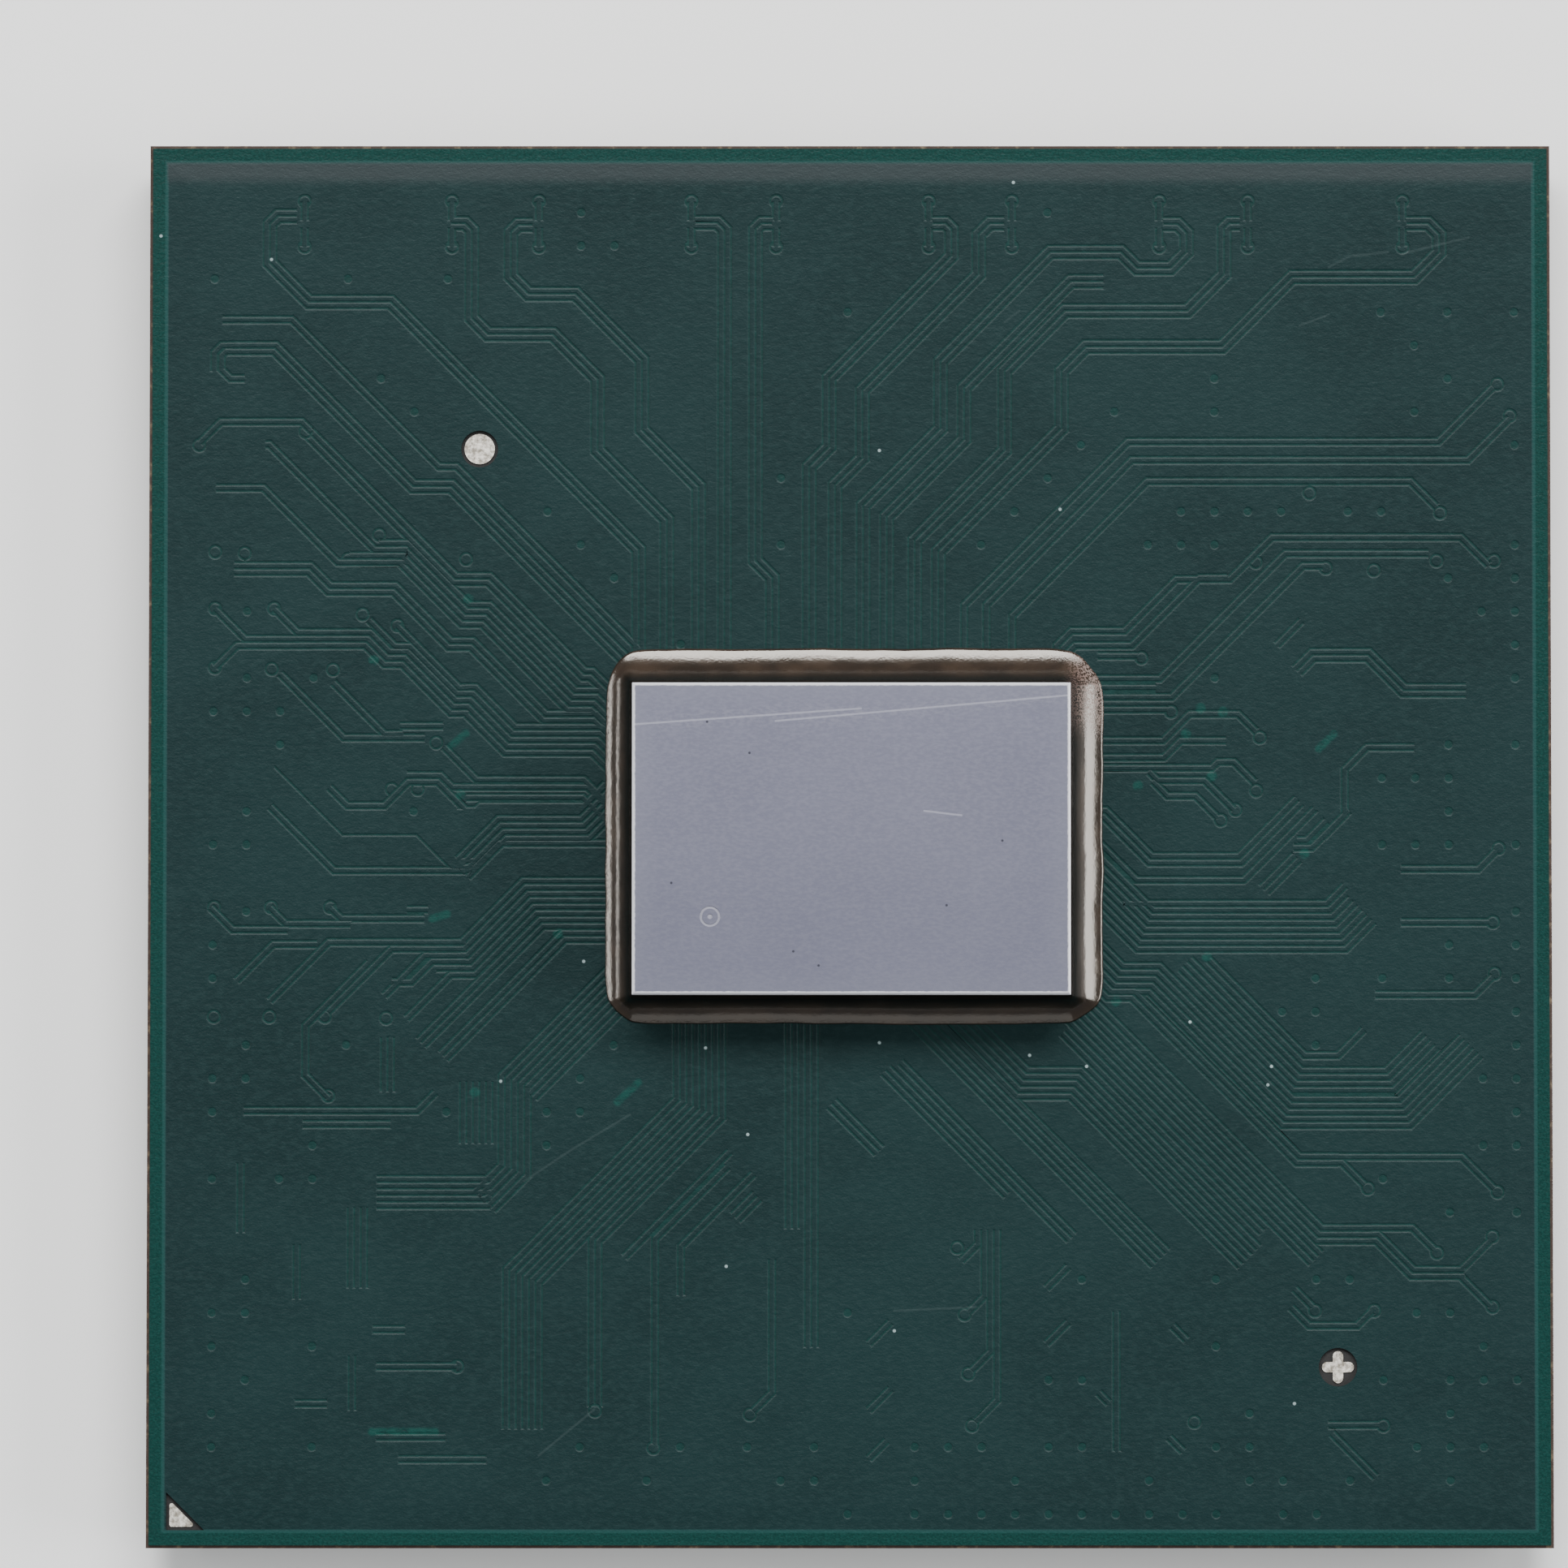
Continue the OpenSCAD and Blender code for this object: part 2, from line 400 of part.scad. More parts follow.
// The path moved sideways by o, with mitred bends.
function beside(path, o) = [
    for (i = [0:len(path) - 1])
        let (before = left_of(path[max(i - 1, 0)], path[max(i, 1)]),
             after = left_of(path[min(i, len(path) - 2)], path[min(i + 1, len(path) - 1)]))
        path[i] + o * (before + after) / (1 + before * after)];

function reversed(list) = [for (i = [len(list) - 1:-1:0]) list[i]];

// A strip that runs along a path, between two distances to its left.
module strip(path, from, to) {
    polygon(concat(beside(path, from), reversed(beside(path, to))));
}

module lanes_of(bundle) {
    path = route_unit * walk(bundle[1], bundle[2]);
    for (k = [0:bundle[0] - 1]) {
        middle = grid_place(k, bundle[0], trace_pitch);
        strip(path, middle - trace_width / 2, middle + trace_width / 2);
    }
}

// The hooks that join the two lanes of a rim pair to its vias, as bundles of one lane. They start
// at the lanes' ends and turn away, one to the back and one to the front.
function hooks_at(x) =
    let (middle = (rim_pair_y[0] + rim_pair_y[1]) / 2,
         half = trace_pitch / route_unit / 2)
    [[1, [x, middle + half], [["N", rim_pair_y[1]]]],
     [1, [x, middle - half], [["S", rim_pair_y[0]]]]];

module channel_of(bundle) {
    half = (bundle[0] * trace_pitch + trace_space) / 2;
    strip(route_unit * walk(bundle[1], bundle[2]), -half, half);
}

// ---- Flat shapes ----

module square_face(size) {
    square(size, center = true);
}

module triangle_face() {
    translate(triangle_at)
        offset(r = triangle_round)
            offset(delta = -triangle_round)
                polygon([[0, 0], [triangle_side, 0], [0, triangle_side]]);
}

module cross_face() {
    arm = fiducial_cross_size - fiducial_cross_arm;
    translate(fiducial_cross_at)
        for (turn = [0, 90])
            rotate(turn) {
                square([arm, fiducial_cross_arm], center = true);
                for (side = [-1, 1])
                    translate([side * arm / 2, 0])
                        circle(d = fiducial_cross_arm);
            }
}

module dot_face() {
    translate(fiducial_dot_at)
        circle(d = fiducial_dot_diameter);
}

// The marks, each grown by a margin: the dot as a disc, the cross as a disc round it and the
// triangle as a larger triangle.
module marks_grown(margin) {
    translate(fiducial_dot_at)
        circle(d = fiducial_dot_diameter + 2 * margin);
    translate(fiducial_cross_at)
        circle(d = fiducial_cross_size + 2 * margin);
    reach = triangle_side + margin * (2 + sqrt(2));
    translate(triangle_at - [margin, margin])
        polygon([[0, 0], [reach, 0], [0, reach]]);
}

module top_copper_face() {
    difference() {
        square_face(pour_size);
        marks_grown(mark_clearance);
    }
}

// The grooves beside the lanes of one side's bundles: their channels, less all their lanes.
module grooves_of(bundles) {
    difference() {
        for (bundle = bundles)
            channel_of(bundle);
        for (bundle = bundles)
            lanes_of(bundle);
    }
}

// The groove round a pad.
module pad_ring() {
    difference() {
        circle(d = via_pad_diameter + 2 * trace_space);
        circle(d = via_pad_diameter);
    }
}

// All that is sunk into the top mask. A single lane runs on through the ring of its pad.
module groove_face() {
    difference() {
        union() {
            for (bundles = SIDES)
                grooves_of(bundles);
            for (pad = PADS)
                translate(route_unit * pad)
                    pad_ring();
            for (dimple = DIMPLES)
                translate(via_grid * dimple + [via_grid_x, 0])
                    circle(d = dimple_diameter);
        }
        for (bundles = SIDES, bundle = bundles)
            if (bundle[0] == 1)
                lanes_of(bundle);
    }
}

module bottom_copper_face() {
    difference() {
        square_face(pour_size);
        at_balls()
            circle(d = land_diameter + 2 * land_gap);
    }
    at_balls()
        circle(d = land_diameter);
}

// ---- Pieces ----

module substrate_laminate() {
    color([0.42, 0.36, 0.24])
        translate([0, 0, laminate_z])
            linear_extrude(laminate_thickness)
                square_face(body_size);
}

module top_copper() {
    color([0.80, 0.50, 0.32])
        translate([0, 0, laminate_top_z])
            linear_extrude(copper_thickness)
                top_copper_face();
}

module bottom_copper() {
    color([0.80, 0.50, 0.32])
        translate([0, 0, bottom_copper_z])
            linear_extrude(copper_thickness)
                bottom_copper_face();
}

// The mask fills the space beside the copper, covers it, and shows the traces by the grooves
// between them.
module top_solder_mask() {
    color([0.16, 0.25, 0.25])
        difference() {
            union() {
                translate([0, 0, laminate_top_z])
                    linear_extrude(copper_thickness)
                        difference() {
                            square_face(mask_size);
                            top_copper_face();
                            marks_grown(mark_opening);
                        }
                translate([0, 0, top_copper_z])
                    linear_extrude(mask_cover)
                        difference() {
                            square_face(mask_size);
                            marks_grown(mark_opening);
                            at_pillars()
                                circle(d = pillar_diameter);
                        }
            }
            translate([0, 0, top_mask_z - groove_depth])
                linear_extrude(mask_cover)
                    groove_face();
        }
}

module bottom_solder_mask() {
    color([0.16, 0.25, 0.25]) {
        translate([0, 0, bottom_copper_z])
            linear_extrude(copper_thickness)
                difference() {
                    square_face(mask_size);
                    bottom_copper_face();
                }
        translate([0, 0, bottom_mask_z])
            linear_extrude(mask_cover)
                difference() {
                    square_face(mask_size);
                    at_balls()
                        circle(d = land_opening);
                }
    }
}

module fiducial_dot() {
    color([0.92, 0.90, 0.85])
        translate([0, 0, laminate_top_z])
            linear_extrude(copper_thickness)
                dot_face();
}

module fiducial_cross() {
    color([0.92, 0.90, 0.85])
        translate([0, 0, laminate_top_z])
            linear_extrude(copper_thickness)
                cross_face();
}

module pin1_triangle() {
    color([0.92, 0.90, 0.85])
        translate([0, 0, laminate_top_z])
            linear_extrude(copper_thickness)
                triangle_face();
}

// Two crossed profiles, each with its upper edges bevelled.
module die_block() {
    intersection() {
        rotate([90, 0, 0])
            linear_extrude(die_width, center = true)
                bevelled_face(die_length);
        rotate([90, 0, 90])
            linear_extrude(die_length, center = true)
                bevelled_face(die_width);
    }
}

module bevelled_face(width) {
    half = width / 2;
    polygon([[-half, 0], [half, 0], [half, die_thickness - die_edge_bevel],
             [half - die_edge_bevel, die_thickness], [-half + die_edge_bevel, die_thickness],
             [-half, die_thickness - die_edge_bevel]]);
}

module die() {
    color([0.57, 0.57, 0.64])
        difference() {
            translate([die_at.x, die_at.y, die_z])
                die_block();
            translate([mark_at.x, mark_at.y, die_top_z - mark_depth])
                linear_extrude(2 * mark_depth) {
                    difference() {
                        circle(d = mark_ring_diameter);
                        circle(d = mark_ring_diameter - 2 * mark_line);
                    }
                    circle(r = mark_line);
                }
        }
}

module copper_pillars() {
    color([0.75, 0.55, 0.42])
        translate([0, 0, top_copper_z])
            linear_extrude(pillar_height)
                at_pillars()
                    circle(d = pillar_diameter);
}

// ---- Underfill ----

steps_along_side = 18;
steps_up = 7;

// The four sides of the die, turning left from its right side: how far the die reaches that way,
// half of the side's length, the spread there and the spread at the next side.
sides = [[die_length / 2, die_width / 2, fillet_right, fillet_back],
         [die_width / 2, die_length / 2, fillet_back, fillet_left],
         [die_length / 2, die_width / 2, fillet_left, fillet_front],
         [die_width / 2, die_length / 2, fillet_front, fillet_right]];

function turned(p, side) =
    side == 0 ? p : side == 1 ? [-p.y, p.x] : side == 2 ? [-p.x, -p.y] : [p.y, -p.x];

// The spread beyond a side at t, which runs from -1 to 1 along it. Towards a corner it blends
// into the mean of both sides, and everywhere it wanders a little.
function spread(side, t) =
    let (own = sides[side][2],
         other = t > 0 ? sides[side][3] : sides[(side + 3) % 4][2])
    own + (other - own) / 2 * pow(abs(t), 3)
        + fillet_wander * (1 - pow(t, 8)) * (sin(410 * t + 90 * side) + sin(950 * t + 50 * side)) / 2;

// The way that the underfill spreads at t: straight out, and turning to the diagonal over the
// last stretch before a corner.
function fan(side, t) =
    let (stretch = 0.5 / sides[side][1],
         turn = 45 * sign(t) * max(0, (abs(t) - 1 + stretch) / stretch))
    [cos(turn), sin(turn)];

// A section of the fillet at t: down the die's side, out along the mask to the outer lip and up
// a quarter of an ellipse.
function fillet_section(side, t) =
    let (foot = [sides[side][0], t * sides[side][1]],
         wide = spread(side, t),
         out = fan(side, t),
         high = fillet_climb - fillet_lip)
    [for (q = concat([[0, fillet_climb], [0, 0], [wide, 0]],
                     [for (k = [0:steps_up])
                         let (a = 90 * k / steps_up)
                         [fillet_lip + (wide - fillet_lip) * (1 - sin(a)),
                          fillet_lip + high * (1 - cos(a))]]))
        let (p = die_at + turned(foot + q[0] * out, side))
        [p.x, p.y, top_mask_z + q[1]]];

module fillet() {
    sections = [for (side = [0:3], i = [0:steps_along_side - 1])
        fillet_section(side, -1 + 2 * i / steps_along_side)];
    rounds = len(sections);
    size = len(sections[0]);
    polyhedron(
        points = [for (s = sections) each s],
        faces = [for (i = [0:rounds - 1], k = [0:size - 1])
            let (a = i * size, b = (i + 1) % rounds * size, n = (k + 1) % size)
            each [[a + k, a + n, b + k], [b + k, a + n, b + n]]]);
}

module underfill() {
    color([0.20, 0.13, 0.09]) {
        translate([die_at.x, die_at.y, top_mask_z])
            linear_extrude(die_z - top_mask_z)
                difference() {
                    square([die_length, die_width], center = true);
                    translate(-die_at)
                        at_pillars()
                            circle(d = pillar_diameter);
                }
        fillet();
    }
}

// ---- Solder balls ----

module ball() {
    intersection() {
        translate([0, 0, ball_radius])
            sphere(r = ball_radius);
        cylinder(r = ball_diameter, h = bottom_copper_z);
    }
}

module ball_row(i) {
    color([0.78, 0.77, 0.75])
        for (j = [0:balls_per_side - 1])
            translate([grid_place(i, balls_per_side, ball_pitch),
                       grid_place(j, balls_per_side, ball_pitch), 0])
                ball();
}

substrate_laminate();
top_copper();
bottom_copper();
top_solder_mask();
bottom_solder_mask();
fiducial_dot();
fiducial_cross();
pin1_triangle();
die();
copper_pillars();
underfill();
for (i = [0:balls_per_side - 1])
    ball_row(i);
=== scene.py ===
# %% [markdown]
# # A flip-chip ball grid array
#
# A chip like this is a sandwich. A square of laminate carries copper on both faces, a thin coat
# of solder mask covers the copper, a bare silicon die sits on top in a collar of dark underfill,
# and 529 solder balls hang below. The solid model already has every piece at its real size. This
# lesson dresses it: each piece gets a finish, and the pieces whose surfaces are finer than a
# solid model should be (relief with sloping walls, a poured meniscus, slightly uneven balls) are
# worked out again with numpy, in the same place.

# %% Load the solid model
import math
import bpy
import numpy as np
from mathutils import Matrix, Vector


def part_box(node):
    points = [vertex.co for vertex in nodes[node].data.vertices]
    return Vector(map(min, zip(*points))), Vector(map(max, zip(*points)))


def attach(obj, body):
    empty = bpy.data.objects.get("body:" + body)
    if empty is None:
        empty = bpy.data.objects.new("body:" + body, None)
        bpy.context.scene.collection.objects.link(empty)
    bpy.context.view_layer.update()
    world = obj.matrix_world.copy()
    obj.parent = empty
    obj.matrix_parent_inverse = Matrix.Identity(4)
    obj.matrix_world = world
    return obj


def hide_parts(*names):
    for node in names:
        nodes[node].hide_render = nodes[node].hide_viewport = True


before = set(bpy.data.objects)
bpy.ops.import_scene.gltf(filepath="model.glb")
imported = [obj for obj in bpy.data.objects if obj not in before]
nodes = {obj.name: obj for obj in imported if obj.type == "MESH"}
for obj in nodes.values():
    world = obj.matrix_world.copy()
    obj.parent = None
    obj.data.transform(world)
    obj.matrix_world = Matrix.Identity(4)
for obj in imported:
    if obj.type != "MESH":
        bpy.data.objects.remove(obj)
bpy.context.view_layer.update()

# %% [markdown]
# Blender counts in metres and a chip is a few millimetres high, so the lesson works in
# millimetres and turns them into metres only when points go into a mesh. Every place is read
# from the boxes of the solid pieces.

# %% Sizes in millimetres
MM = 0.001


def box_mm(node):
    """The lowest and the highest corner of a solid piece, in millimetres."""
    low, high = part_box(node)
    return np.array(low) / MM, np.array(high) / MM


body_low, body_high = box_mm("substrate_laminate")
die_low, die_high = box_mm("die")
mask_low, mask_high = box_mm("top_solder_mask")
pour_low, pour_high = box_mm("top_copper")
under_low, under_high = box_mm("underfill")
mask_top = mask_high[2]
print("body", body_high - body_low, "die", die_high - die_low)

# %% [markdown]
# ## Writing materials as sums
#
# A finish is a small program for each point of a surface. Node graphs hide that, so one class
# wraps a socket and lets Python's own operators add the Math nodes, and another holds a material
# and adds any other node from its type, its settings and its inputs.

# %% A socket that can be added and multiplied
class Value:
    """A socket of a finish. Arithmetic on it adds Math nodes."""

    def __init__(self, finish, socket):
        self.finish = finish
        self.socket = socket

    def math(self, operation, *others):
        inputs = dict(enumerate((self, *others)))
        return self.finish.node("ShaderNodeMath", {"operation": operation}, inputs)

    def __add__(self, other): return self.math("ADD", other)
    def __sub__(self, other): return self.math("SUBTRACT", other)
    def __mul__(self, other): return self.math("MULTIPLY", other)
    def __truediv__(self, other): return self.math("DIVIDE", other)
    def __radd__(self, other): return self.math("ADD", other)
    def __rmul__(self, other): return self.math("MULTIPLY", other)
    def __rsub__(self, other): return (self * -1).math("ADD", other)
    def __abs__(self): return self.math("ABSOLUTE")

    def least(self, other): return self.math("MINIMUM", other)
    def most(self, other): return self.math("MAXIMUM", other)
    def root(self): return self.math("SQRT")

    def rise(self, start, end):
        """Nought below start, one above end and a smooth slope between, also where end is less."""
        settings = {"interpolation_type": "SMOOTHSTEP"}
        if start < end:
            return self.finish.node("ShaderNodeMapRange", settings,
                                    {"Value": self, "From Min": start, "From Max": end})
        return 1 - self.rise(end, start)


# %% A material that is built from expressions
class Finish:
    """A material on the Principled shader. Its coordinates are the piece's own, in millimetres."""

    def __init__(self, name, **constants):
        self.material = bpy.data.materials.new(name)
        self.material.use_nodes = True
        self.tree = self.material.node_tree
        self.shader = self.tree.nodes["Principled BSDF"]
        for socket, value in constants.items():
            self.shader.inputs[socket.replace("_", " ")].default_value = value
        metres = self.node("ShaderNodeTexCoord", output="Object")
        self.place = self.node("ShaderNodeVectorMath", {"operation": "SCALE"},
                               {0: metres, "Scale": 1 / MM})
        self.x, self.y, self.z = (self.node("ShaderNodeSeparateXYZ", {}, {0: self.place}, axis)
                                  for axis in "XYZ")

    def put(self, socket, value):
        if isinstance(value, Value):
            self.tree.links.new(value.socket, socket)
        else:
            socket.default_value = value

    def node(self, kind, settings=None, inputs=None, output=0):
        """Adds a node: its settings first, then the values or links of its sockets."""
        made = self.tree.nodes.new(kind)
        for name, value in (settings or {}).items():
            setattr(made, name, value)
        for name, value in (inputs or {}).items():
            self.put(made.inputs[name], value)
        return Value(self, made.outputs[output])

    def blend(self, factor, first, second):
        """The first colour where factor is 0 and the second where it is 1."""
        return self.node("ShaderNodeMix", {"data_type": "RGBA"}, {0: factor, 6: first, 7: second}, 2)

    def stretched(self, scales):
        return self.node("ShaderNodeVectorMath", {"operation": "MULTIPLY"}, {0: self.place, 1: scales})

    def noise(self, scales, detail=3.0, roughness=0.55):
        """Noise from 0 to 1. Scales says how many lumps there are to the millimetre along X, Y, Z."""
        return self.node("ShaderNodeTexNoise", {},
                         {"Vector": self.stretched(scales), "Scale": 1.0, "Detail": detail,
                          "Roughness": roughness})

    def spots(self, places, radius):
        """One on small round spots, fading out over the radius."""
        flat = self.node("ShaderNodeVectorMath", {"operation": "MULTIPLY"}, {0: self.place, 1: (1, 1, 0)})
        total = None
        for x, y in places:
            away = self.node("ShaderNodeVectorMath", {"operation": "DISTANCE"}, {0: flat, 1: (x, y, 0)},
                             "Value")
            spot = away.rise(radius, radius / 2)
            total = spot if total is None else total.most(spot)
        return total

    def specks(self, per_mm, share):
        """Small round specks, one where the random height of a cell is above 1 - share."""
        settings = {"feature": "F1"}
        inputs = {"Vector": self.place, "Scale": per_mm}
        near = self.node("ShaderNodeTexVoronoi", settings, inputs, "Distance")
        colour = self.node("ShaderNodeTexVoronoi", settings, inputs, "Color")
        chance = self.node("ShaderNodeSeparateColor", {}, {0: colour}, "Red")
        return near.rise(0.3, 0.12) * chance.rise(1 - share, 1 - share + 0.004)

    def line(self, start, end, width):
        """One on a straight line from start to end, fading out over its width."""
        (ax, ay), (bx, by) = start, end
        dx, dy = bx - ax, by - ay
        px, py = self.x - ax, self.y - ay
        along = ((px * dx + py * dy) / (dx * dx + dy * dy)).most(0.0).least(1.0)
        off_x, off_y = px - along * dx, py - along * dy
        away = (off_x * off_x + off_y * off_y).root()
        return away.rise(width, width / 3)

    def lines(self, segments, width):
        marks = [self.line(start, end, width) for start, end in segments]
        total = marks[0]
        for mark in marks[1:]:
            total = total.most(mark)
        return total

    def bump(self, height, distance_mm, strength=1.0, under=None):
        """The normal of a surface that stands distance_mm proud where height is 1."""
        inputs = {"Height": height, "Distance": distance_mm * MM, "Strength": strength}
        if under is not None:
            inputs["Normal"] = under
        return self.node("ShaderNodeBump", {}, inputs)

    def set(self, **sockets):
        for name, value in sockets.items():
            self.put(self.shader.inputs[name.replace("_", " ")], value)
        return self


def dress(piece, finish):
    """Gives a piece its finish in place of whatever it had."""
    piece.data.materials.clear()
    piece.data.materials.append(finish.material)


# %% [markdown]
# ## From arrays to meshes
#
# Every new piece is computed as whole arrays: a function of two parameters on a grid gives the
# points, and the grid's own order gives the faces. `grid_faces` knows whether the two directions
# close on themselves.

# %% Points and faces into a mesh
def grid_faces(rows, columns, around=False):
    """Four-sided faces between the points of a grid. Around closes the columns on themselves."""
    r = np.arange(rows - 1)[:, None]
    c = np.arange(columns if around else columns - 1)[None, :]
    right = (c + 1) % columns
    faces = [r * columns + c, r * columns + right, (r + 1) * columns + right, (r + 1) * columns + c]
    return np.stack(np.broadcast_arrays(*faces), -1).reshape(-1, 4)


def facing_out(points, faces):
    """The faces of a closed surface, turned so that they look outwards. The volume under each
    corner fan is a third of a dot product, and the sum is negative when they look inwards."""
    a = points[faces[:, 0]]
    volume = sum((a * np.cross(points[faces[:, k]], points[faces[:, k + 1]])).sum()
                 for k in range(1, faces.shape[1] - 1))
    return faces if volume > 0 else faces[:, ::-1]


def mesh_piece(name, points, faces, finish, smooth=True):
    """A piece from points in millimetres and faces that all have the same number of corners."""
    faces = facing_out(points, faces)
    mesh = bpy.data.meshes.new(name)
    count, corners = faces.shape
    mesh.vertices.add(len(points))
    mesh.vertices.foreach_set("co", (points * MM).astype(np.float32).ravel())
    mesh.loops.add(count * corners)
    mesh.loops.foreach_set("vertex_index", faces.astype(np.int32).ravel())
    mesh.polygons.add(count)
    mesh.polygons.foreach_set("loop_start", np.arange(0, count * corners, corners, dtype=np.int32))
    mesh.polygons.foreach_set("use_smooth", np.full(count, smooth))
    mesh.update(calc_edges=True)
    mesh.validate()
    piece = bpy.data.objects.new(name, mesh)
    bpy.context.scene.collection.objects.link(piece)
    dress(piece, finish)
    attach(piece, "root")
    print(name, len(points), "points,", count, "faces")
    return piece


def welded(node):
    """A solid piece as points in millimetres, merged where they meet, and triangles."""
    mesh = nodes[node].data
    points = np.empty(3 * len(mesh.vertices), np.float32)
    mesh.vertices.foreach_get("co", points)
    mesh.calc_loop_triangles()
    corners = np.empty(3 * len(mesh.loop_triangles), np.int32)
    mesh.loop_triangles.foreach_get("vertices", corners)
    places, index = np.unique(np.round(points.reshape(-1, 3) / MM, 4), axis=0, return_inverse=True)
    triangles = index.ravel()[corners].reshape(-1, 3)
    a, b, c = triangles.T
    return places, triangles[(a != b) & (b != c) & (c != a)]


# %% [markdown]
# ## Camera and light
#
# The chip lies on a pale table and a long lens looks almost straight down on it. The relief of
# the traces is only a hundredth of a millimetre, so it shows by its sloping walls alone: a broad
# soft light at the back lights the walls that face it and leaves the others dark.

# %% The camera
tilt = math.radians(2.5)
camera_distance = 120 * MM
frame_width = 21.22 * MM
camera_data = bpy.data.cameras.new("camera")
camera_data.sensor_width = 36
camera_data.lens = 36 * camera_distance / frame_width
camera_data.clip_start = 0.005
camera_data.clip_end = 10
camera_data.shift_x = -0.042
camera_data.shift_y = 0.0387
camera = bpy.data.objects.new("camera", camera_data)
camera.location = (0, -camera_distance * math.sin(tilt), mask_top * MM + camera_distance * math.cos(tilt))
camera.rotation_euler = (tilt, 0, 0)
bpy.context.scene.collection.objects.link(camera)
bpy.context.scene.camera = camera

# %% The table and the lights
floor_finish = Finish("table", Roughness=0.6)
floor_finish.set(Base_Color=(0.80, 0.80, 0.79, 1.0))
floor_mesh = bpy.data.meshes.new("table")
half_table = 1.5
floor_mesh.from_pydata([(-half_table, -half_table, 0), (half_table, -half_table, 0),
                        (half_table, half_table, 0), (-half_table, half_table, 0)], [], [(0, 1, 2, 3)])
table = bpy.data.objects.new("table", floor_mesh)
bpy.context.scene.collection.objects.link(table)
dress(table, floor_finish)


def soft_light(name, from_vertical, heading, distance, size, power, colour=(1, 1, 1)):
    """A rectangular lamp that faces the chip. from_vertical and heading are degrees: 0 is
    overhead, and heading 0 is at the back with 90 at the right."""
    lamp = bpy.data.lights.new(name, "AREA")
    lamp.shape = "RECTANGLE"
    lamp.size, lamp.size_y = size
    lamp.energy = power
    lamp.color = colour
    down, turn = math.radians(from_vertical), math.radians(heading)
    light = bpy.data.objects.new(name, lamp)
    light.location = (distance * math.sin(down) * math.sin(turn),
                      distance * math.sin(down) * math.cos(turn), distance * math.cos(down))
    light.rotation_euler = (down, 0, math.pi - turn)
    bpy.context.scene.collection.objects.link(light)


soft_light("back softbox", 46, 0, 0.5, (0.60, 0.17), 6.2)
soft_light("right softbox", 70, 90, 0.5, (0.40, 0.22), 3.4)
soft_light("left strip", 60, -90, 0.5, (0.40, 0.03), 0.9)
soft_light("low left strip", 85, -90, 0.5, (0.40, 0.03), 0.5)
soft_light("front fill", 62, 180, 0.6, (0.5, 0.2), 0.3)
world = bpy.data.worlds.new("studio")
world.use_nodes = True
world.node_tree.nodes["Background"].inputs["Color"].default_value = (0.80, 0.84, 0.88, 1)
world.node_tree.nodes["Background"].inputs["Strength"].default_value = 0.34
bpy.context.scene.world = world

# %% [markdown]
# ## The solder mask
#
# Solder mask is a coat of epoxy, a few hundredths of a millimetre thick, rolled over the copper.
# Over the pour it is a dull grey green. Where there is no copper below, it sinks a little, and
# the pale laminate shines through, so the channels and the bare border are more teal. Its
# surface is leathery, with lumps that are drawn out along X.

# %% The finish of the mask
def mask_finish(name, face_z, up):
    """The mask on the top face, where up is 1, or on the underside, where up is -1. face_z is the
    height of the part that stands over copper. Returns the finish, its colour, and the masks of
    the border and of the grain."""
    mask = Finish(name, Roughness=0.5, Specular_IOR_Level=0.18)
    sunk = (mask.z * up).rise(face_z * up - 0.002, face_z * up - 0.008)
    edge = abs(mask.x).most(abs(mask.y))
    border = edge.rise(pour_high[0] - 0.02, pour_high[0] + 0.02)
    leather = mask.noise((9, 16, 12), detail=4, roughness=0.62)
    grain = mask.noise((32, 36, 30), detail=2)
    cloud = mask.noise((0.35, 0.5, 0.4), detail=3)
    plain = mask.blend(cloud.rise(0.3, 0.7), (0.0016, 0.0125, 0.0130, 1), (0.0032, 0.0170, 0.0175, 1))
    # Painted highlight: where the leathery lumps stand highest, the colour is made lighter, as if they caught the
    # light.
    plain = mask.blend(leather.rise(0.4, 0.75) * 0.6, plain, (0.0075, 0.0240, 0.0240, 1))
    low = mask.blend(leather.rise(0.3, 0.7), (0.0006, 0.0190, 0.0160, 1), (0.0018, 0.0270, 0.0235, 1))
    rim = mask.blend(grain.rise(0.3, 0.75), (0.0002, 0.0200, 0.0165, 1), (0.0012, 0.0310, 0.0260, 1))
    colour = mask.blend(sunk, plain, low)
    colour = mask.blend(border, colour, rim)
    pour_line = abs(edge - pour_high[0]).rise(0.035, 0.012)
    colour = mask.blend(pour_line * 0.6, colour, (0.0100, 0.0480, 0.0440, 1))
    return mask, colour, border, leather, grain


top_mask, top_colour, border, leather, grain = mask_finish("solder mask", mask_top, 1)
# Painted sheen: a greyer band along the back of the pour, standing in for the mask's reflection of the back
# softbox.
back_sheen_band = top_mask.y.rise(pour_high[1] - 0.34, pour_high[1] - 0.16) * (1 - border)
top_colour = top_mask.blend(back_sheen_band * 0.6, top_colour, (0.026, 0.032, 0.034, 1))
scuffs = top_mask.lines([((6.5, 7.85), (6.8, 8.0)), ((6.8, 8.0), (7.3, 8.05)), ((7.5, 8.03), (8.4, 8.25)),
                         ((6.1, 7.05), (6.5, 7.2)), ((-3.45, -7.63), (-4.2, -8.25)),
                         ((-2.97, -3.65), (-3.8, -4.15)), ((-3.8, -4.15), (-4.4, -4.55)),
                         ((0.6, -6.3), (1.7, -6.25)), ((2.1, 7.1), (2.3, 7.25))], 0.022)
top_colour = top_mask.blend(scuffs * 0.2, top_colour, (0.050, 0.070, 0.070, 1))
thin_coat = top_mask.lines([((-3.14, -3.48), (-2.86, -3.22)), ((-5.65, -1.0), (-5.45, -0.94)),
                            ((-5.4, 1.33), (-5.2, 1.51)), ((6.35, 1.3), (6.55, 1.5)),
                            ((-6.45, -7.93), (-5.6, -7.93))], 0.075)
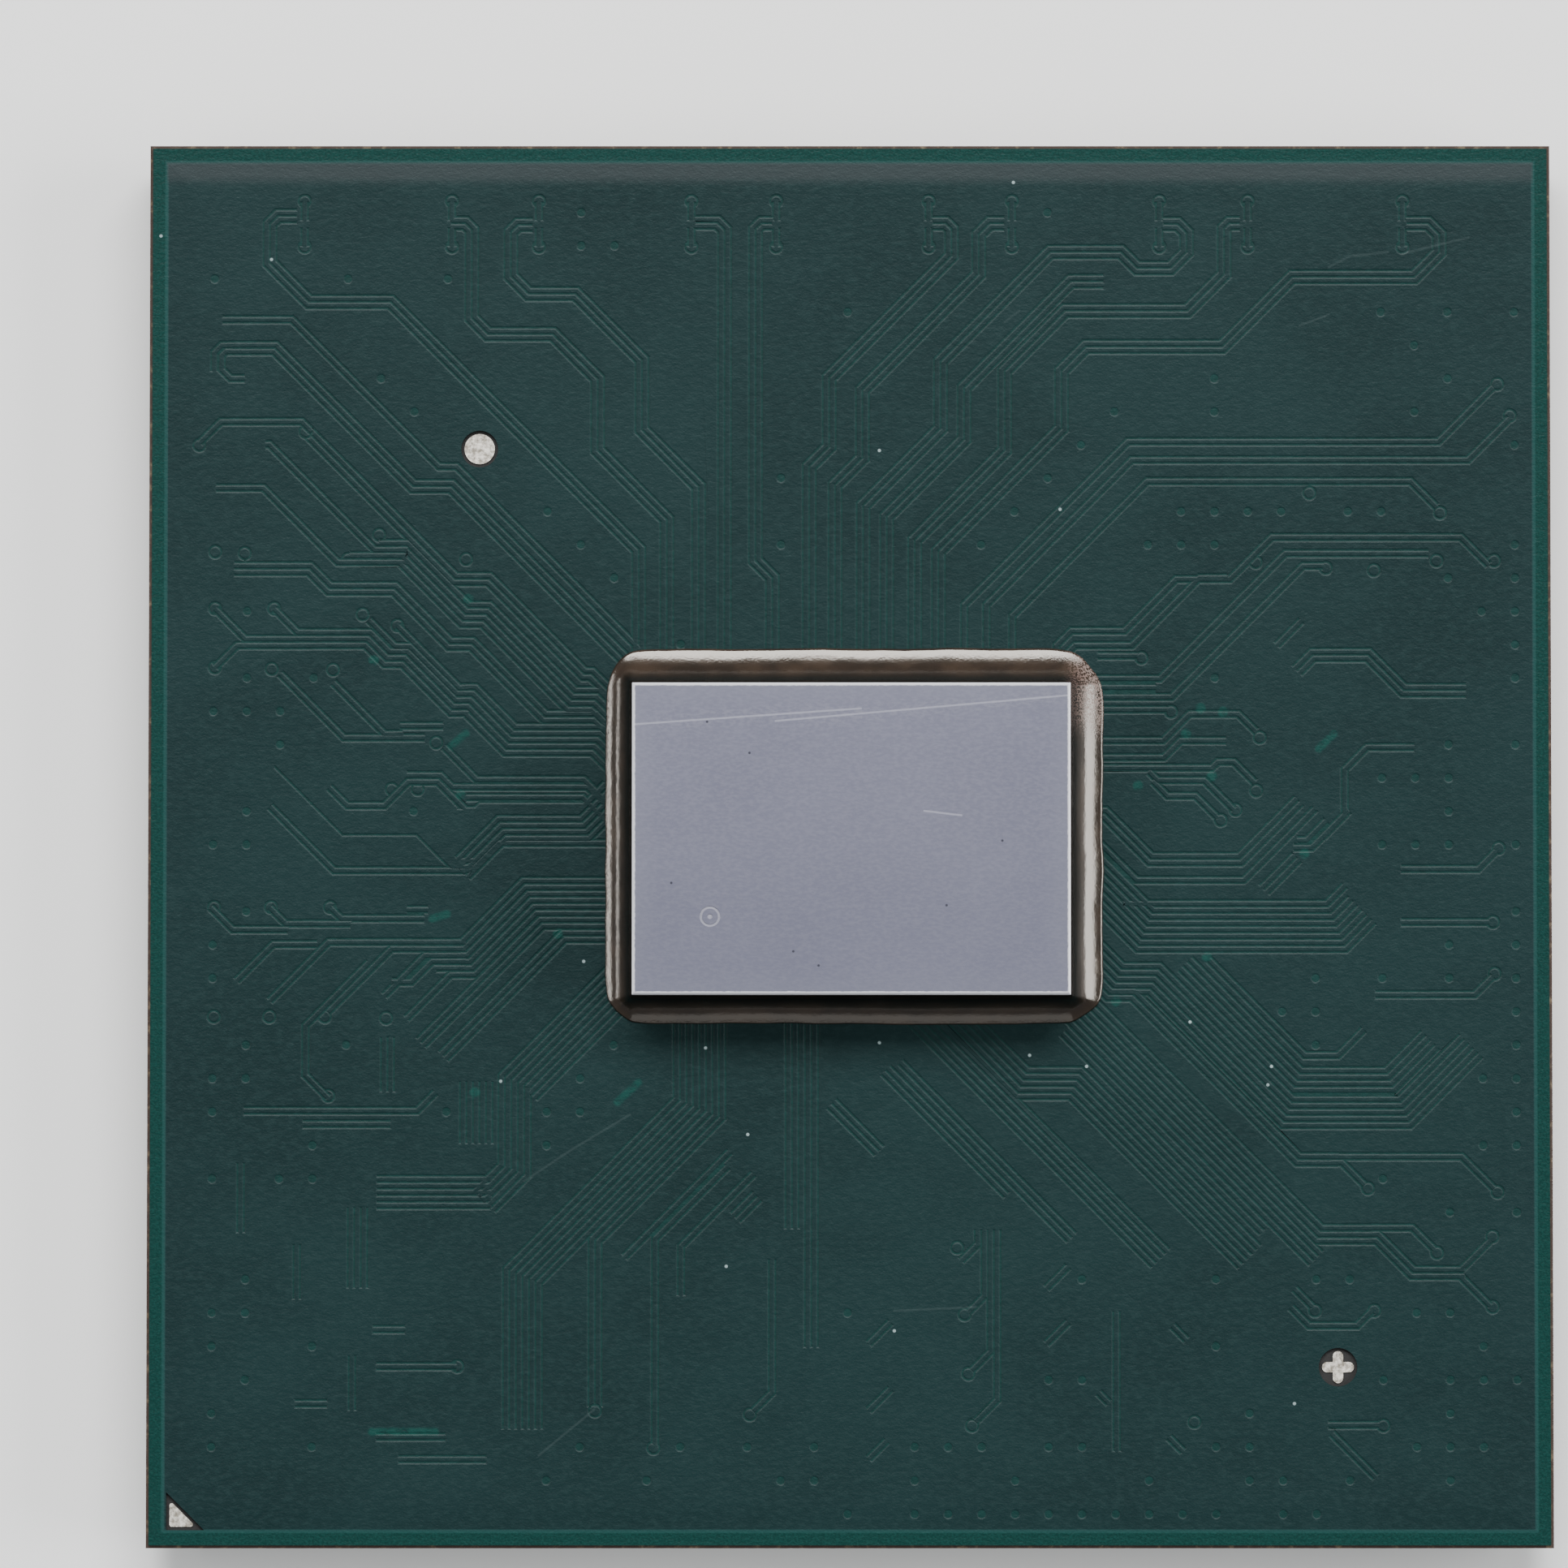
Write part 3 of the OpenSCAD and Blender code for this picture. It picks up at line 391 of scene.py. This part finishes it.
more_thin = top_mask.spots([(-5.27, 0.68), (4.55, 1.5), (4.75, 1.85), (5.05, 1.8), (4.9, 0.93), (3.9, 0.8),
                            (6.15, -0.12), (3.6, -2.12), (4.83, -1.52), (-3.95, -1.21), (-5.07, -3.35),
                            (-6.45, 2.5), (-5.17, 3.33)], 0.09)
top_colour = top_mask.blend(thin_coat.most(more_thin) * leather.rise(0.25, 0.6) * 0.6, top_colour,
                            (0.001, 0.045, 0.035, 1))
dust = top_mask.spots([(-9.35, 8.27), (-7.85, 7.95), (2.22, 9.0), (6.0, -7.55), (0.6, -6.57), (4.6, -2.4),
                       (5.7, -3.0), (5.65, -3.25), (3.2, -3.0), (2.43, -2.85), (0.4, -2.68),
                       (-3.6, -1.58), (-4.72, -3.2), (-1.95, -2.75), (-1.38, -3.92), (-1.67, -5.7),
                       (2.85, 4.55), (0.4, 5.35)], 0.028)
top_colour = top_mask.blend(dust, top_colour, (0.20, 0.26, 0.26, 1))
roll_off = abs(top_mask.x).most(abs(top_mask.y)).rise(pour_high[0] - 0.40, pour_high[0] + 0.1)
dents = top_mask.bump(leather, 0.006, under=top_mask.bump(1 - roll_off, 0.012))
top_mask.set(Base_Color=top_colour, Roughness=0.44 + 0.12 * grain - 0.05 * border - 0.05 * scuffs,
             Normal=top_mask.bump(grain, 0.0035, under=dents))

# %% [markdown]
# The solid model cuts the relief with upright walls, which a view from above can't show. On the
# real thing the coat flows over the edges of the copper and leaves slopes. So the points at the
# foot of each wall move out into the channel, and the points at its top move back.
#
# A point between two walls must move so that both walls end up at the same distance. That is a
# pair of equations, `move . normal = distance` for each wall that meets there. Summed over the
# walls they become one small matrix for each point, and a pseudo-inverse solves them all at once,
# also where there is only one wall.

# %% Slope the walls of the relief
def wall_moves(points, triangles, at_level, distance):
    """How far each point at a level moves across the walls that meet there, by least squares."""
    corners = points[triangles]
    normal = np.cross(corners[:, 1] - corners[:, 0], corners[:, 2] - corners[:, 0])
    normal /= np.maximum(np.linalg.norm(normal, axis=1, keepdims=True), 1e-12)
    upright = np.abs(normal[:, 2]) < 0.1
    flat = normal[:, :2]
    matrix = np.zeros((len(points), 2, 2))
    target = np.zeros((len(points), 2))
    outer = flat[:, :, None] * flat[:, None, :]
    for corner in range(3):
        index = triangles[upright, corner]
        np.add.at(matrix, index, outer[upright])
        np.add.at(target, index, flat[upright])
    moves = np.einsum("nij,nj->ni", np.linalg.pinv(matrix, rcond=1e-3), target) * distance
    length = np.linalg.norm(moves, axis=1, keepdims=True)
    moves *= np.minimum(1, 2.5 * abs(distance) / np.maximum(length, 1e-12))
    moves[~at_level] = 0
    return moves


mask_points, mask_triangles = welded("top_solder_mask")
heights, how_many = np.unique(np.round(mask_points[:, 2], 3), return_counts=True)
floor_level, plain_level = heights[how_many > 100][-2:]
inside = np.abs(mask_points[:, :2]).max(1) < pour_high[0] + 0.01
foot = inside & (np.abs(mask_points[:, 2] - floor_level) < 1e-3)
crest = inside & (np.abs(mask_points[:, 2] - plain_level) < 1e-3)
relief_walls = mask_triangles[(mask_points[mask_triangles, 2] > floor_level - 1e-3).all(1)]
foot_out, crest_back = 0.014, 0.005
sloped = mask_points.copy()
sloped[:, :2] += wall_moves(mask_points, relief_walls, foot, foot_out)
sloped[:, :2] += wall_moves(mask_points, relief_walls, crest, -crest_back)
top_coat = mesh_piece("top_mask_coat", sloped, mask_triangles, top_mask, smooth=False)
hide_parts("top_solder_mask")
print("grooves go from", plain_level, "down to", floor_level)

# %% [markdown]
# ## Laminate and copper
#
# The laminate is glass cloth in brown resin, sawn on all four sides, so its edges show thin
# pale plies of glass. The copper stays hidden, and the few marks that are left bare are plated.

# %% Laminate, copper and plated marks
laminate = Finish("glass laminate", Roughness=0.75)
plies = laminate.node("ShaderNodeTexWave", {"wave_type": "BANDS", "bands_direction": "Z"},
                      {"Vector": laminate.place, "Scale": 2.6, "Distortion": 2.0, "Detail": 2.0,
                       "Detail Scale": 3.0})
fibres = laminate.noise((9, 9, 60), detail=4, roughness=0.7)
bare_top = laminate.z.rise(body_high[2] - 0.004, body_high[2] - 0.001)
bare_top = bare_top * abs(laminate.x).most(abs(laminate.y)).rise(pour_high[0] + 0.1, pour_high[0])
sawn_edge = laminate.blend(plies.rise(0.35, 0.8) * fibres.rise(0.35, 0.6),
                           (0.030, 0.014, 0.008, 1), (0.12, 0.085, 0.050, 1))
laminate.set(
    Base_Color=laminate.blend(bare_top, sawn_edge, (0.0030, 0.0025, 0.0022, 1)),
    Roughness=0.62 + 0.25 * fibres,
    Normal=laminate.bump(fibres, 0.006))
dress(nodes["substrate_laminate"], laminate)

copper = Finish("copper", Metallic=1.0, Roughness=0.35)
tarnish = copper.noise((3, 3, 3), detail=3)
copper.set(Base_Color=copper.blend(tarnish, (0.75, 0.36, 0.20, 1), (0.86, 0.48, 0.30, 1)),
           Roughness=0.28 + 0.2 * tarnish)
for name in ("top_copper", "bottom_copper", "copper_pillars"):
    dress(nodes[name], copper)

plated = Finish("plated mark", Metallic=0.7, Roughness=0.45)
stains = plated.noise((13, 13, 13), detail=4, roughness=0.65)
plated.set(Base_Color=plated.blend(stains.rise(0.35, 0.62), (0.30, 0.27, 0.22, 1), (0.80, 0.76, 0.68, 1)),
           Roughness=0.35 + 0.25 * stains, Normal=plated.bump(stains, 0.006))
for name in ("fiducial_dot", "fiducial_cross", "pin1_triangle"):
    dress(nodes[name], plated)

# %% [markdown]
# ## The die
#
# The back of a silicon die is ground and polished, then handled: a satin grey with a violet
# tinge, fine grinding lines, a few long scratches and pits. Its sawn sides are rough, and chips
# along the saw cut catch the light as a thin bright line.

# %% Silicon
silicon = Finish("silicon", Metallic=0.2, Roughness=0.38)
scratches = silicon.lines([((-1.00, 1.63), (2.97, 1.98)), ((-2.91, 1.585), (0.15, 1.80)),
                           ((1.0, 0.42), (1.5, 0.36))], 0.018)
rubbed = silicon.lines([((-0.60, 1.66), (2.97, 1.98)), ((-2.5, 1.62), (-0.3, 1.78))], 0.16)
ground = silicon.noise((14, 26, 14), detail=4, roughness=0.6)
haze = silicon.noise((0.5, 0.7, 0.5), detail=3)
die_middle = (die_low + die_high) / 2
die_half = (die_high - die_low) / 2
inset = (die_half[0] - abs(silicon.x - die_middle[0])).least(die_half[1] - abs(silicon.y - die_middle[1]))
top_face = silicon.z.rise(die_high[2] - 0.03, die_high[2] - 0.022)
chips = silicon.noise((16, 16, 16), detail=4, roughness=0.7)
# Painted highlight: a thin bright line along the top edges of the die, where the chipped saw cut catches the light.
chip_glint = (inset - 0.030 * chips).rise(0.034, 0.016) * top_face
pale = silicon.blend(haze, (0.118, 0.119, 0.165, 1), (0.138, 0.140, 0.188, 1))
pale = silicon.blend(inset.rise(0.45, 0.0) * 0.35, pale, (0.165, 0.170, 0.210, 1))
pale = silicon.blend(ground.rise(0.35, 0.7) * 0.5, pale, (0.175, 0.176, 0.222, 1))
# Painted shade: the top face grows darker towards the front, standing in for the back light's sheen falling off.
pale = silicon.blend(silicon.y.rise(1.6, -2.2) * 0.30, pale, (0.075, 0.077, 0.112, 1))
pale = silicon.blend(rubbed * ground.rise(0.4, 0.7) * 0.4, pale, (0.18, 0.18, 0.22, 1))
pale = silicon.blend(scratches * 0.55, pale, (0.28, 0.28, 0.33, 1))
engraved = silicon.z.rise(die_high[2] - 0.003, die_high[2] - 0.006)
pale = silicon.blend(engraved * top_face * inset.rise(0.1, 0.2), pale, (0.26, 0.26, 0.31, 1))
pits = silicon.spots([(-1.35, 1.20), (-0.76, -1.47), (-0.42, -1.66), (2.05, 0.02), (-1.92, 1.62), (1.30, -0.85),
                      (-2.40, -0.55)], 0.022)
pale = silicon.blend(pits, pale, (0.035, 0.035, 0.050, 1))
pale = silicon.blend(chip_glint, pale, (0.55, 0.55, 0.58, 1))
sawn = silicon.blend(silicon.noise((14, 14, 30)), (0.10, 0.10, 0.12, 1), (0.20, 0.20, 0.23, 1))
silicon.set(Base_Color=silicon.blend(top_face, sawn, pale),
            Roughness=0.34 + 0.10 * haze + 0.15 * scratches,
            Normal=silicon.bump(ground, 0.0016, under=silicon.bump(haze, 0.004)))
dress(nodes["die"], silicon)

# %% [markdown]
# ## The underfill
#
# Underfill is a dark epoxy that is drawn under the die and climbs its sides, so it ends in a
# meniscus: steep against the silicon and almost flat where it meets the mask. In plan it follows
# the die at a distance that differs from side to side, and its outer edge wanders.
#
# The surface is a function of two parameters. One goes once round the die. The other goes inward
# along the profile, from 0 at the foot to 1 at the die: `a u + (1 - a) (1 - sqrt(1 - u^2.5))`.
# The first term is the apron that leaves the mask at a low angle, and the second turns upright.

# %% The path round the die
def round_the_die(steps_side, steps_corner):
    """Feet on the die's outline and the directions that point away from it, once round from the
    front end of the right side. On a side the direction is straight out. At a corner the foot
    stays and the direction turns through a right angle."""
    feet, ways = [], []
    for side in range(4):
        angle = side * math.pi / 2
        along = np.linspace(-1, 1, steps_side)
        half, reach = (die_half[1], die_half[0]) if side % 2 == 0 else (die_half[0], die_half[1])
        turn = np.array([[math.cos(angle), -math.sin(angle)], [math.sin(angle), math.cos(angle)]])
        feet.append(np.stack([np.full_like(along, reach), along * half], 1) @ turn.T)
        ways.append(np.tile([math.cos(angle), math.sin(angle)], (steps_side, 1)))
        swing = angle + np.linspace(0, math.pi / 2, steps_corner + 2)[1:-1]
        corner = np.array([reach, half]) @ turn.T
        feet.append(np.tile(corner, (steps_corner, 1)))
        ways.append(np.stack([np.cos(swing), np.sin(swing)], 1))
    return np.concatenate(feet) + die_middle[:2], np.concatenate(ways)


def smooth_round(values, width):
    """A running mean over a list that closes on itself."""
    kernel = np.hanning(width + 2)[1:-1]
    kernel /= kernel.sum()
    padded = np.concatenate([values[-width:], values, values[:width]])
    return np.convolve(padded, kernel, "same")[width:-width]


# %% The meniscus
feet, ways = round_the_die(150, 26)
angle_of_way = np.arctan2(ways[:, 1], ways[:, 0])
spreads = {0: under_high[0] - die_high[0], 90: under_high[1] - die_high[1],
           180: die_low[0] - under_low[0], 270: die_low[1] - under_low[1]}
weights = {side: np.clip(np.cos(angle_of_way - math.radians(side)), 0, 1) ** 2 for side in spreads}
spread = sum(0.96 * spreads[side] * weights[side] for side in spreads)
random = np.random.default_rng(5)
wander = smooth_round(random.normal(size=len(feet)), 25)
ripple = smooth_round(random.normal(size=len(feet)), 7)
wander, ripple = wander / np.abs(wander).max(), ripple / np.abs(ripple).max()
spread *= 1 - 0.30 * np.sin(2 * angle_of_way) ** 2
spread = smooth_round(spread, 35) + 0.012 * wander + 0.004 * ripple
climb = (under_high[2] - mask_top) * (0.93 + 0.05 * smooth_round(wander, 41) + 0.02 * ripple)

inward = np.sin(np.linspace(0, math.pi / 2, 26))[:, None]
lip, gap, apron = 0.012, 0.005, 0.33
out = gap + (spread - gap) * (1 - inward)
up = lip + (climb - lip) * (apron * inward + (1 - apron) * (1 - np.sqrt(1 - inward ** 2.5)))
rows = [np.concatenate([feet + ways * spread[:, None], np.full((len(feet), 1), mask_top - 0.006)], 1)]
for k in range(len(inward)):
    place = feet + ways * out[k][:, None]
    rows.append(np.concatenate([place, (mask_top + up[k])[:, None]], 1))
rows.append(np.concatenate([feet - ways * 0.02, (mask_top + climb)[:, None]], 1))
rows.append(np.concatenate([feet - ways * 0.02, np.full((len(feet), 1), mask_top - 0.006)], 1))
points = np.concatenate(rows)
ring = grid_faces(len(rows), len(feet), around=True)
last = grid_faces(2, len(feet), around=True)
closing = np.where(last >= len(feet), last - len(feet), last + (len(rows) - 1) * len(feet))
faces = np.concatenate([ring, closing])

epoxy = Finish("underfill epoxy", Specular_IOR_Level=0.75, Specular_Tint=(1.0, 0.95, 0.87, 1))
swirl = epoxy.noise((2.2, 2.2, 2.2), detail=4)
filler = epoxy.noise((38, 38, 38), detail=2)
away_x = abs(epoxy.x - die_middle[0]) - die_half[0]
away_y = abs(epoxy.y - die_middle[1]) - die_half[1]
away = away_x.most(away_y)
brown = epoxy.blend(swirl.rise(0.35, 0.7), (0.0110, 0.0065, 0.0038, 1), (0.0240, 0.0145, 0.0085, 1))
# Painted shadow: the epoxy turns near black within a few hundredths of a millimetre of the die, where the die's
# shadow falls; further out it is plain brown.
shadowed_brown = epoxy.blend(away.rise(0.04, 0.22), (0.0020, 0.0016, 0.0014, 1), brown)
rough_corner = (epoxy.x.rise(2.85, 3.2) * epoxy.y.rise(1.3, 2.0) * filler.rise(0.4, 0.6))
shadowed_brown = epoxy.blend(rough_corner * 0.6, shadowed_brown, (0.16, 0.10, 0.085, 1))
epoxy.set(Base_Color=shadowed_brown, Roughness=0.12 + 0.08 * swirl + 0.35 * rough_corner,
          Normal=epoxy.bump(filler, 0.0015, under=epoxy.bump(swirl, 0.008)))
meniscus = mesh_piece("underfill_meniscus", points, faces, epoxy)
dress(nodes["underfill"], epoxy)
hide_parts("underfill")

# %% [markdown]
# ## The solder balls
#
# A reflowed ball is a sphere that its own weight and the land flatten a little, with the dull
# wrinkled skin of tin-silver-copper solder. There are 529 of them, so each has few faces, and the
# light on a smooth-shaded ball hides that. Each one is turned and squeezed a little differently.

# %% Rows of balls
def ball_points(radius, cut_height, rings, segments):
    """A sphere that stands on the table and ends in a flat at cut_height: rings of points from
    the lowest to the flat, with one point at each pole."""
    lowest, highest = -math.pi / 2, math.asin(min(1, cut_height / radius - 1))
    tilt_of = np.linspace(lowest, highest, rings + 1)[1:]
    turn = np.linspace(0, 2 * math.pi, segments, endpoint=False)
    shape = np.stack([np.outer(np.cos(tilt_of), np.cos(turn)), np.outer(np.cos(tilt_of), np.sin(turn)),
                      np.repeat(np.sin(tilt_of)[:, None], segments, 1) + 1], -1) * radius
    return np.concatenate([[[0, 0, 0]], shape.reshape(-1, 3), [[0, 0, cut_height]]])


def ball_faces(rings, segments):
    """The faces of one ball, all triangles: each four-sided face is cut in two, and the poles are fans."""
    body = grid_faces(rings, segments, around=True) + 1
    k = np.arange(segments)
    after = (k + 1) % segments
    top = 1 + (rings - 1) * segments
    pole = 1 + rings * segments
    low_fan = np.stack([np.zeros_like(k), after + 1, k + 1], 1)
    high_fan = np.stack([top + k, top + after, np.full_like(k, pole)], 1)
    triangles = np.concatenate([body[:, [0, 1, 2]], body[:, [0, 2, 3]], low_fan, high_fan])
    return triangles


solder = Finish("solder", Metallic=1.0, Roughness=0.38)
wrinkle = solder.noise((9, 9, 9), detail=4, roughness=0.6)
skin = solder.noise((30, 30, 30), detail=2)
solder.set(Base_Color=solder.blend(wrinkle, (0.62, 0.61, 0.59, 1), (0.80, 0.79, 0.77, 1)),
           Roughness=0.30 + 0.22 * wrinkle,
           Normal=solder.bump(skin, 0.002, under=solder.bump(wrinkle, 0.010)))

ball_rows = sorted(name for name in nodes if name.startswith("balls_row_"))
ball_rings, ball_segments = 6, 12
for name in ball_rows:
    low, high = box_mm(name)
    radius = (high[0] - low[0]) / 2
    along = np.linspace(low[1] + radius, high[1] - radius, 23)
    one = ball_points(radius * 0.995, high[2] - low[2], ball_rings, ball_segments)
    random = np.random.default_rng(abs(int(1000 * low[0])) + 7)
    spin = random.uniform(0, 2 * math.pi, len(along))
    squeeze = 1 - random.uniform(0, 0.02, (len(along), 2))
    cos, sin = np.cos(spin)[:, None], np.sin(spin)[:, None]
    x = (one[None, :, 0] * cos - one[None, :, 1] * sin) * squeeze[:, :1] + low[0] + radius
    y = (one[None, :, 0] * sin + one[None, :, 1] * cos) * squeeze[:, 1:] + along[:, None]
    z = np.broadcast_to(one[None, :, 2] + low[2], x.shape)
    faces_of_one = ball_faces(ball_rings, ball_segments)
    faces = (faces_of_one[None] + np.arange(len(along))[:, None, None] * len(one)).reshape(-1, 3)
    row = mesh_piece(name + "_reflowed", np.stack([x, y, z], -1).reshape(-1, 3), faces, solder)
    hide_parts(name)

# %% [markdown]
# ## The underside
#
# The mask below has a round opening for each ball, and a shallow ring round it where the copper
# is cut away from the land. The plate is worked out cell by cell: a cell is the square round one
# ball. Its two parameters are the turn round the ball and the way out, from the rim of the
# opening to the sides of the square, and the height is a smooth dip at the ring. Twenty-three by
# twenty-three copies of the cell are one broadcast sum, and merging equal points closes them up.

# %% The plate with its rings
def cell_points(pitch, opening, ring, depth, segments):
    """Rings of points from the opening's rim to the sides of the square cell."""
    turn = np.arange(segments) * 2 * math.pi / segments
    direction = np.stack([np.cos(turn), np.sin(turn)], 1)
    side = pitch / 2 / np.abs(direction).max(1)
    reach = [opening, (opening + ring) / 2, ring - 0.018, ring, ring + 0.018, ring + 0.045]
    flat = np.array([np.full(segments, r) for r in reach] + [side])
    height = depth * np.exp(-((flat - ring) / 0.022) ** 2)
    height[-1] = 0
    return np.concatenate([direction[None] * flat[..., None], height[..., None]], -1)


def merged(points, faces):
    """The same surface with equal points merged."""
    _, first, index = np.unique(np.round(points, 4), axis=0, return_index=True, return_inverse=True)
    return points[first], index.ravel()[faces]


below_low, below_high = box_mm("bottom_solder_mask")
row_boxes = np.array([box_mm(name) for name in nodes if name.startswith("balls_row_")])
ball_radius = (row_boxes[0, 1, 0] - row_boxes[0, 0, 0]) / 2
ball_x = np.sort(row_boxes[:, :, 0].mean(1))
ball_pitch = ball_x[1] - ball_x[0]
cell_turns = 16
cell = cell_points(ball_pitch, ball_radius * 0.9, 0.295, 0.009, cell_turns)
back_ring = cell[[-1, 0]].copy()
back_ring[..., 2] = below_high[2] - below_low[2]
cell = np.concatenate([cell[::-1], back_ring[::-1]])
cell[..., 2] += below_low[2]
cell_faces = grid_faces(len(cell), cell_turns, around=True)
centres = np.stack(np.meshgrid(ball_x, ball_x), -1).reshape(-1, 2)
plate = cell.reshape(1, -1, 3) + np.concatenate([centres, np.zeros((len(centres), 1))], 1)[:, None]
plate_faces = cell_faces[None] + np.arange(len(centres))[:, None, None] * len(cell) * cell_turns

# %% [markdown]
# Outside the grid the plate has a plain margin. It is a profile, from the cells out to the sawn
# edge and back along the copper, that is carried round the outline of the grid. A point of the
# outline and the same point times a factor lie on the same ray, which keeps the corners square.

# %% The margin and the finished plate
half_grid = len(ball_x) * ball_pitch / 2
edge_cells = cell[0][:, :2]
on_right = edge_cells[np.isclose(edge_cells[:, 0], ball_pitch / 2) & (edge_cells[:, 1] < ball_pitch / 2 - 1e-6)]
on_right = on_right[np.argsort(on_right[:, 1])]
right_side = (on_right[None] + np.stack([np.full_like(ball_x, ball_x[-1]), ball_x], 1)[:, None]).reshape(-1, 2)
outline = np.concatenate([right_side, right_side[:, ::-1] * [-1, 1], -right_side, right_side[:, ::-1] * [1, -1]])
step = 0.009
profile = [(half_grid, 0), (pour_high[0] - 0.012, 0), (pour_high[0] + 0.02, step), (below_high[0], step),
           (below_high[0], below_high[2] - below_low[2]), (half_grid, below_high[2] - below_low[2])]
margin = np.array([np.concatenate([outline * reach / half_grid, np.full((len(outline), 1), below_low[2] + rise)], 1)
                   for reach, rise in profile])
margin_faces = grid_faces(len(profile), len(outline), around=True)
all_points = np.concatenate([plate.reshape(-1, 3), margin.reshape(-1, 3)])
plate_points, plate_faces = merged(all_points, np.concatenate([
    plate_faces.reshape(-1, 4)[:, ::-1], margin_faces + plate.size // 3]))

under_mask, under_colour, _, under_leather, under_grain = mask_finish("solder mask below", below_low[2], -1)
cell_x, cell_y = ((axis / ball_pitch + 0.5).math("FRACT") - 0.5 for axis in (under_mask.x, under_mask.y))
from_ball = (cell_x * cell_x + cell_y * cell_y).root() * ball_pitch
diagonal_a = ((under_mask.x + under_mask.y) * (4 / ball_pitch)).math("FRACT") - 0.5
diagonal_b = ((under_mask.x - under_mask.y) * (4 / ball_pitch)).math("FRACT") - 0.5
vent = ((diagonal_a * diagonal_a + diagonal_b * diagonal_b).root()).rise(0.32, 0.16) * from_ball.rise(0.34, 0.37)
bare_strip = ((under_mask.x / (2 * ball_pitch) + 0.25).math("FRACT") - 0.5).math("ABSOLUTE").rise(0.19, 0.17)
bare_strip = bare_strip * abs(under_mask.y - (ball_x[-1] - ball_pitch / 2)).rise(0.24, 0.20)
bare_strip = bare_strip * abs(under_mask.x).rise(ball_x[-2], ball_x[-2] - 0.05)
# Partly painted shadow and partly real: a dark ring round each ball, lying on the outline of the copper land.
ring_shadow_and_land_edge = abs(from_ball - 0.29).rise(0.06, 0.02)
under_colour = under_mask.blend(ring_shadow_and_land_edge * 0.75, under_colour, (0.0006, 0.0050, 0.0050, 1))
under_colour = under_mask.blend(bare_strip * from_ball.rise(0.33, 0.36), under_colour, (0.0010, 0.034, 0.026, 1))
under_dents = under_mask.bump(vent * (1 - bare_strip), 0.010, under=under_mask.bump(under_leather, 0.006))
under_mask.set(Base_Color=under_colour, Roughness=0.44 + 0.12 * under_grain, Normal=under_dents)
below = mesh_piece("bottom_mask_plate", plate_points, plate_faces, under_mask)
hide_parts("bottom_solder_mask")
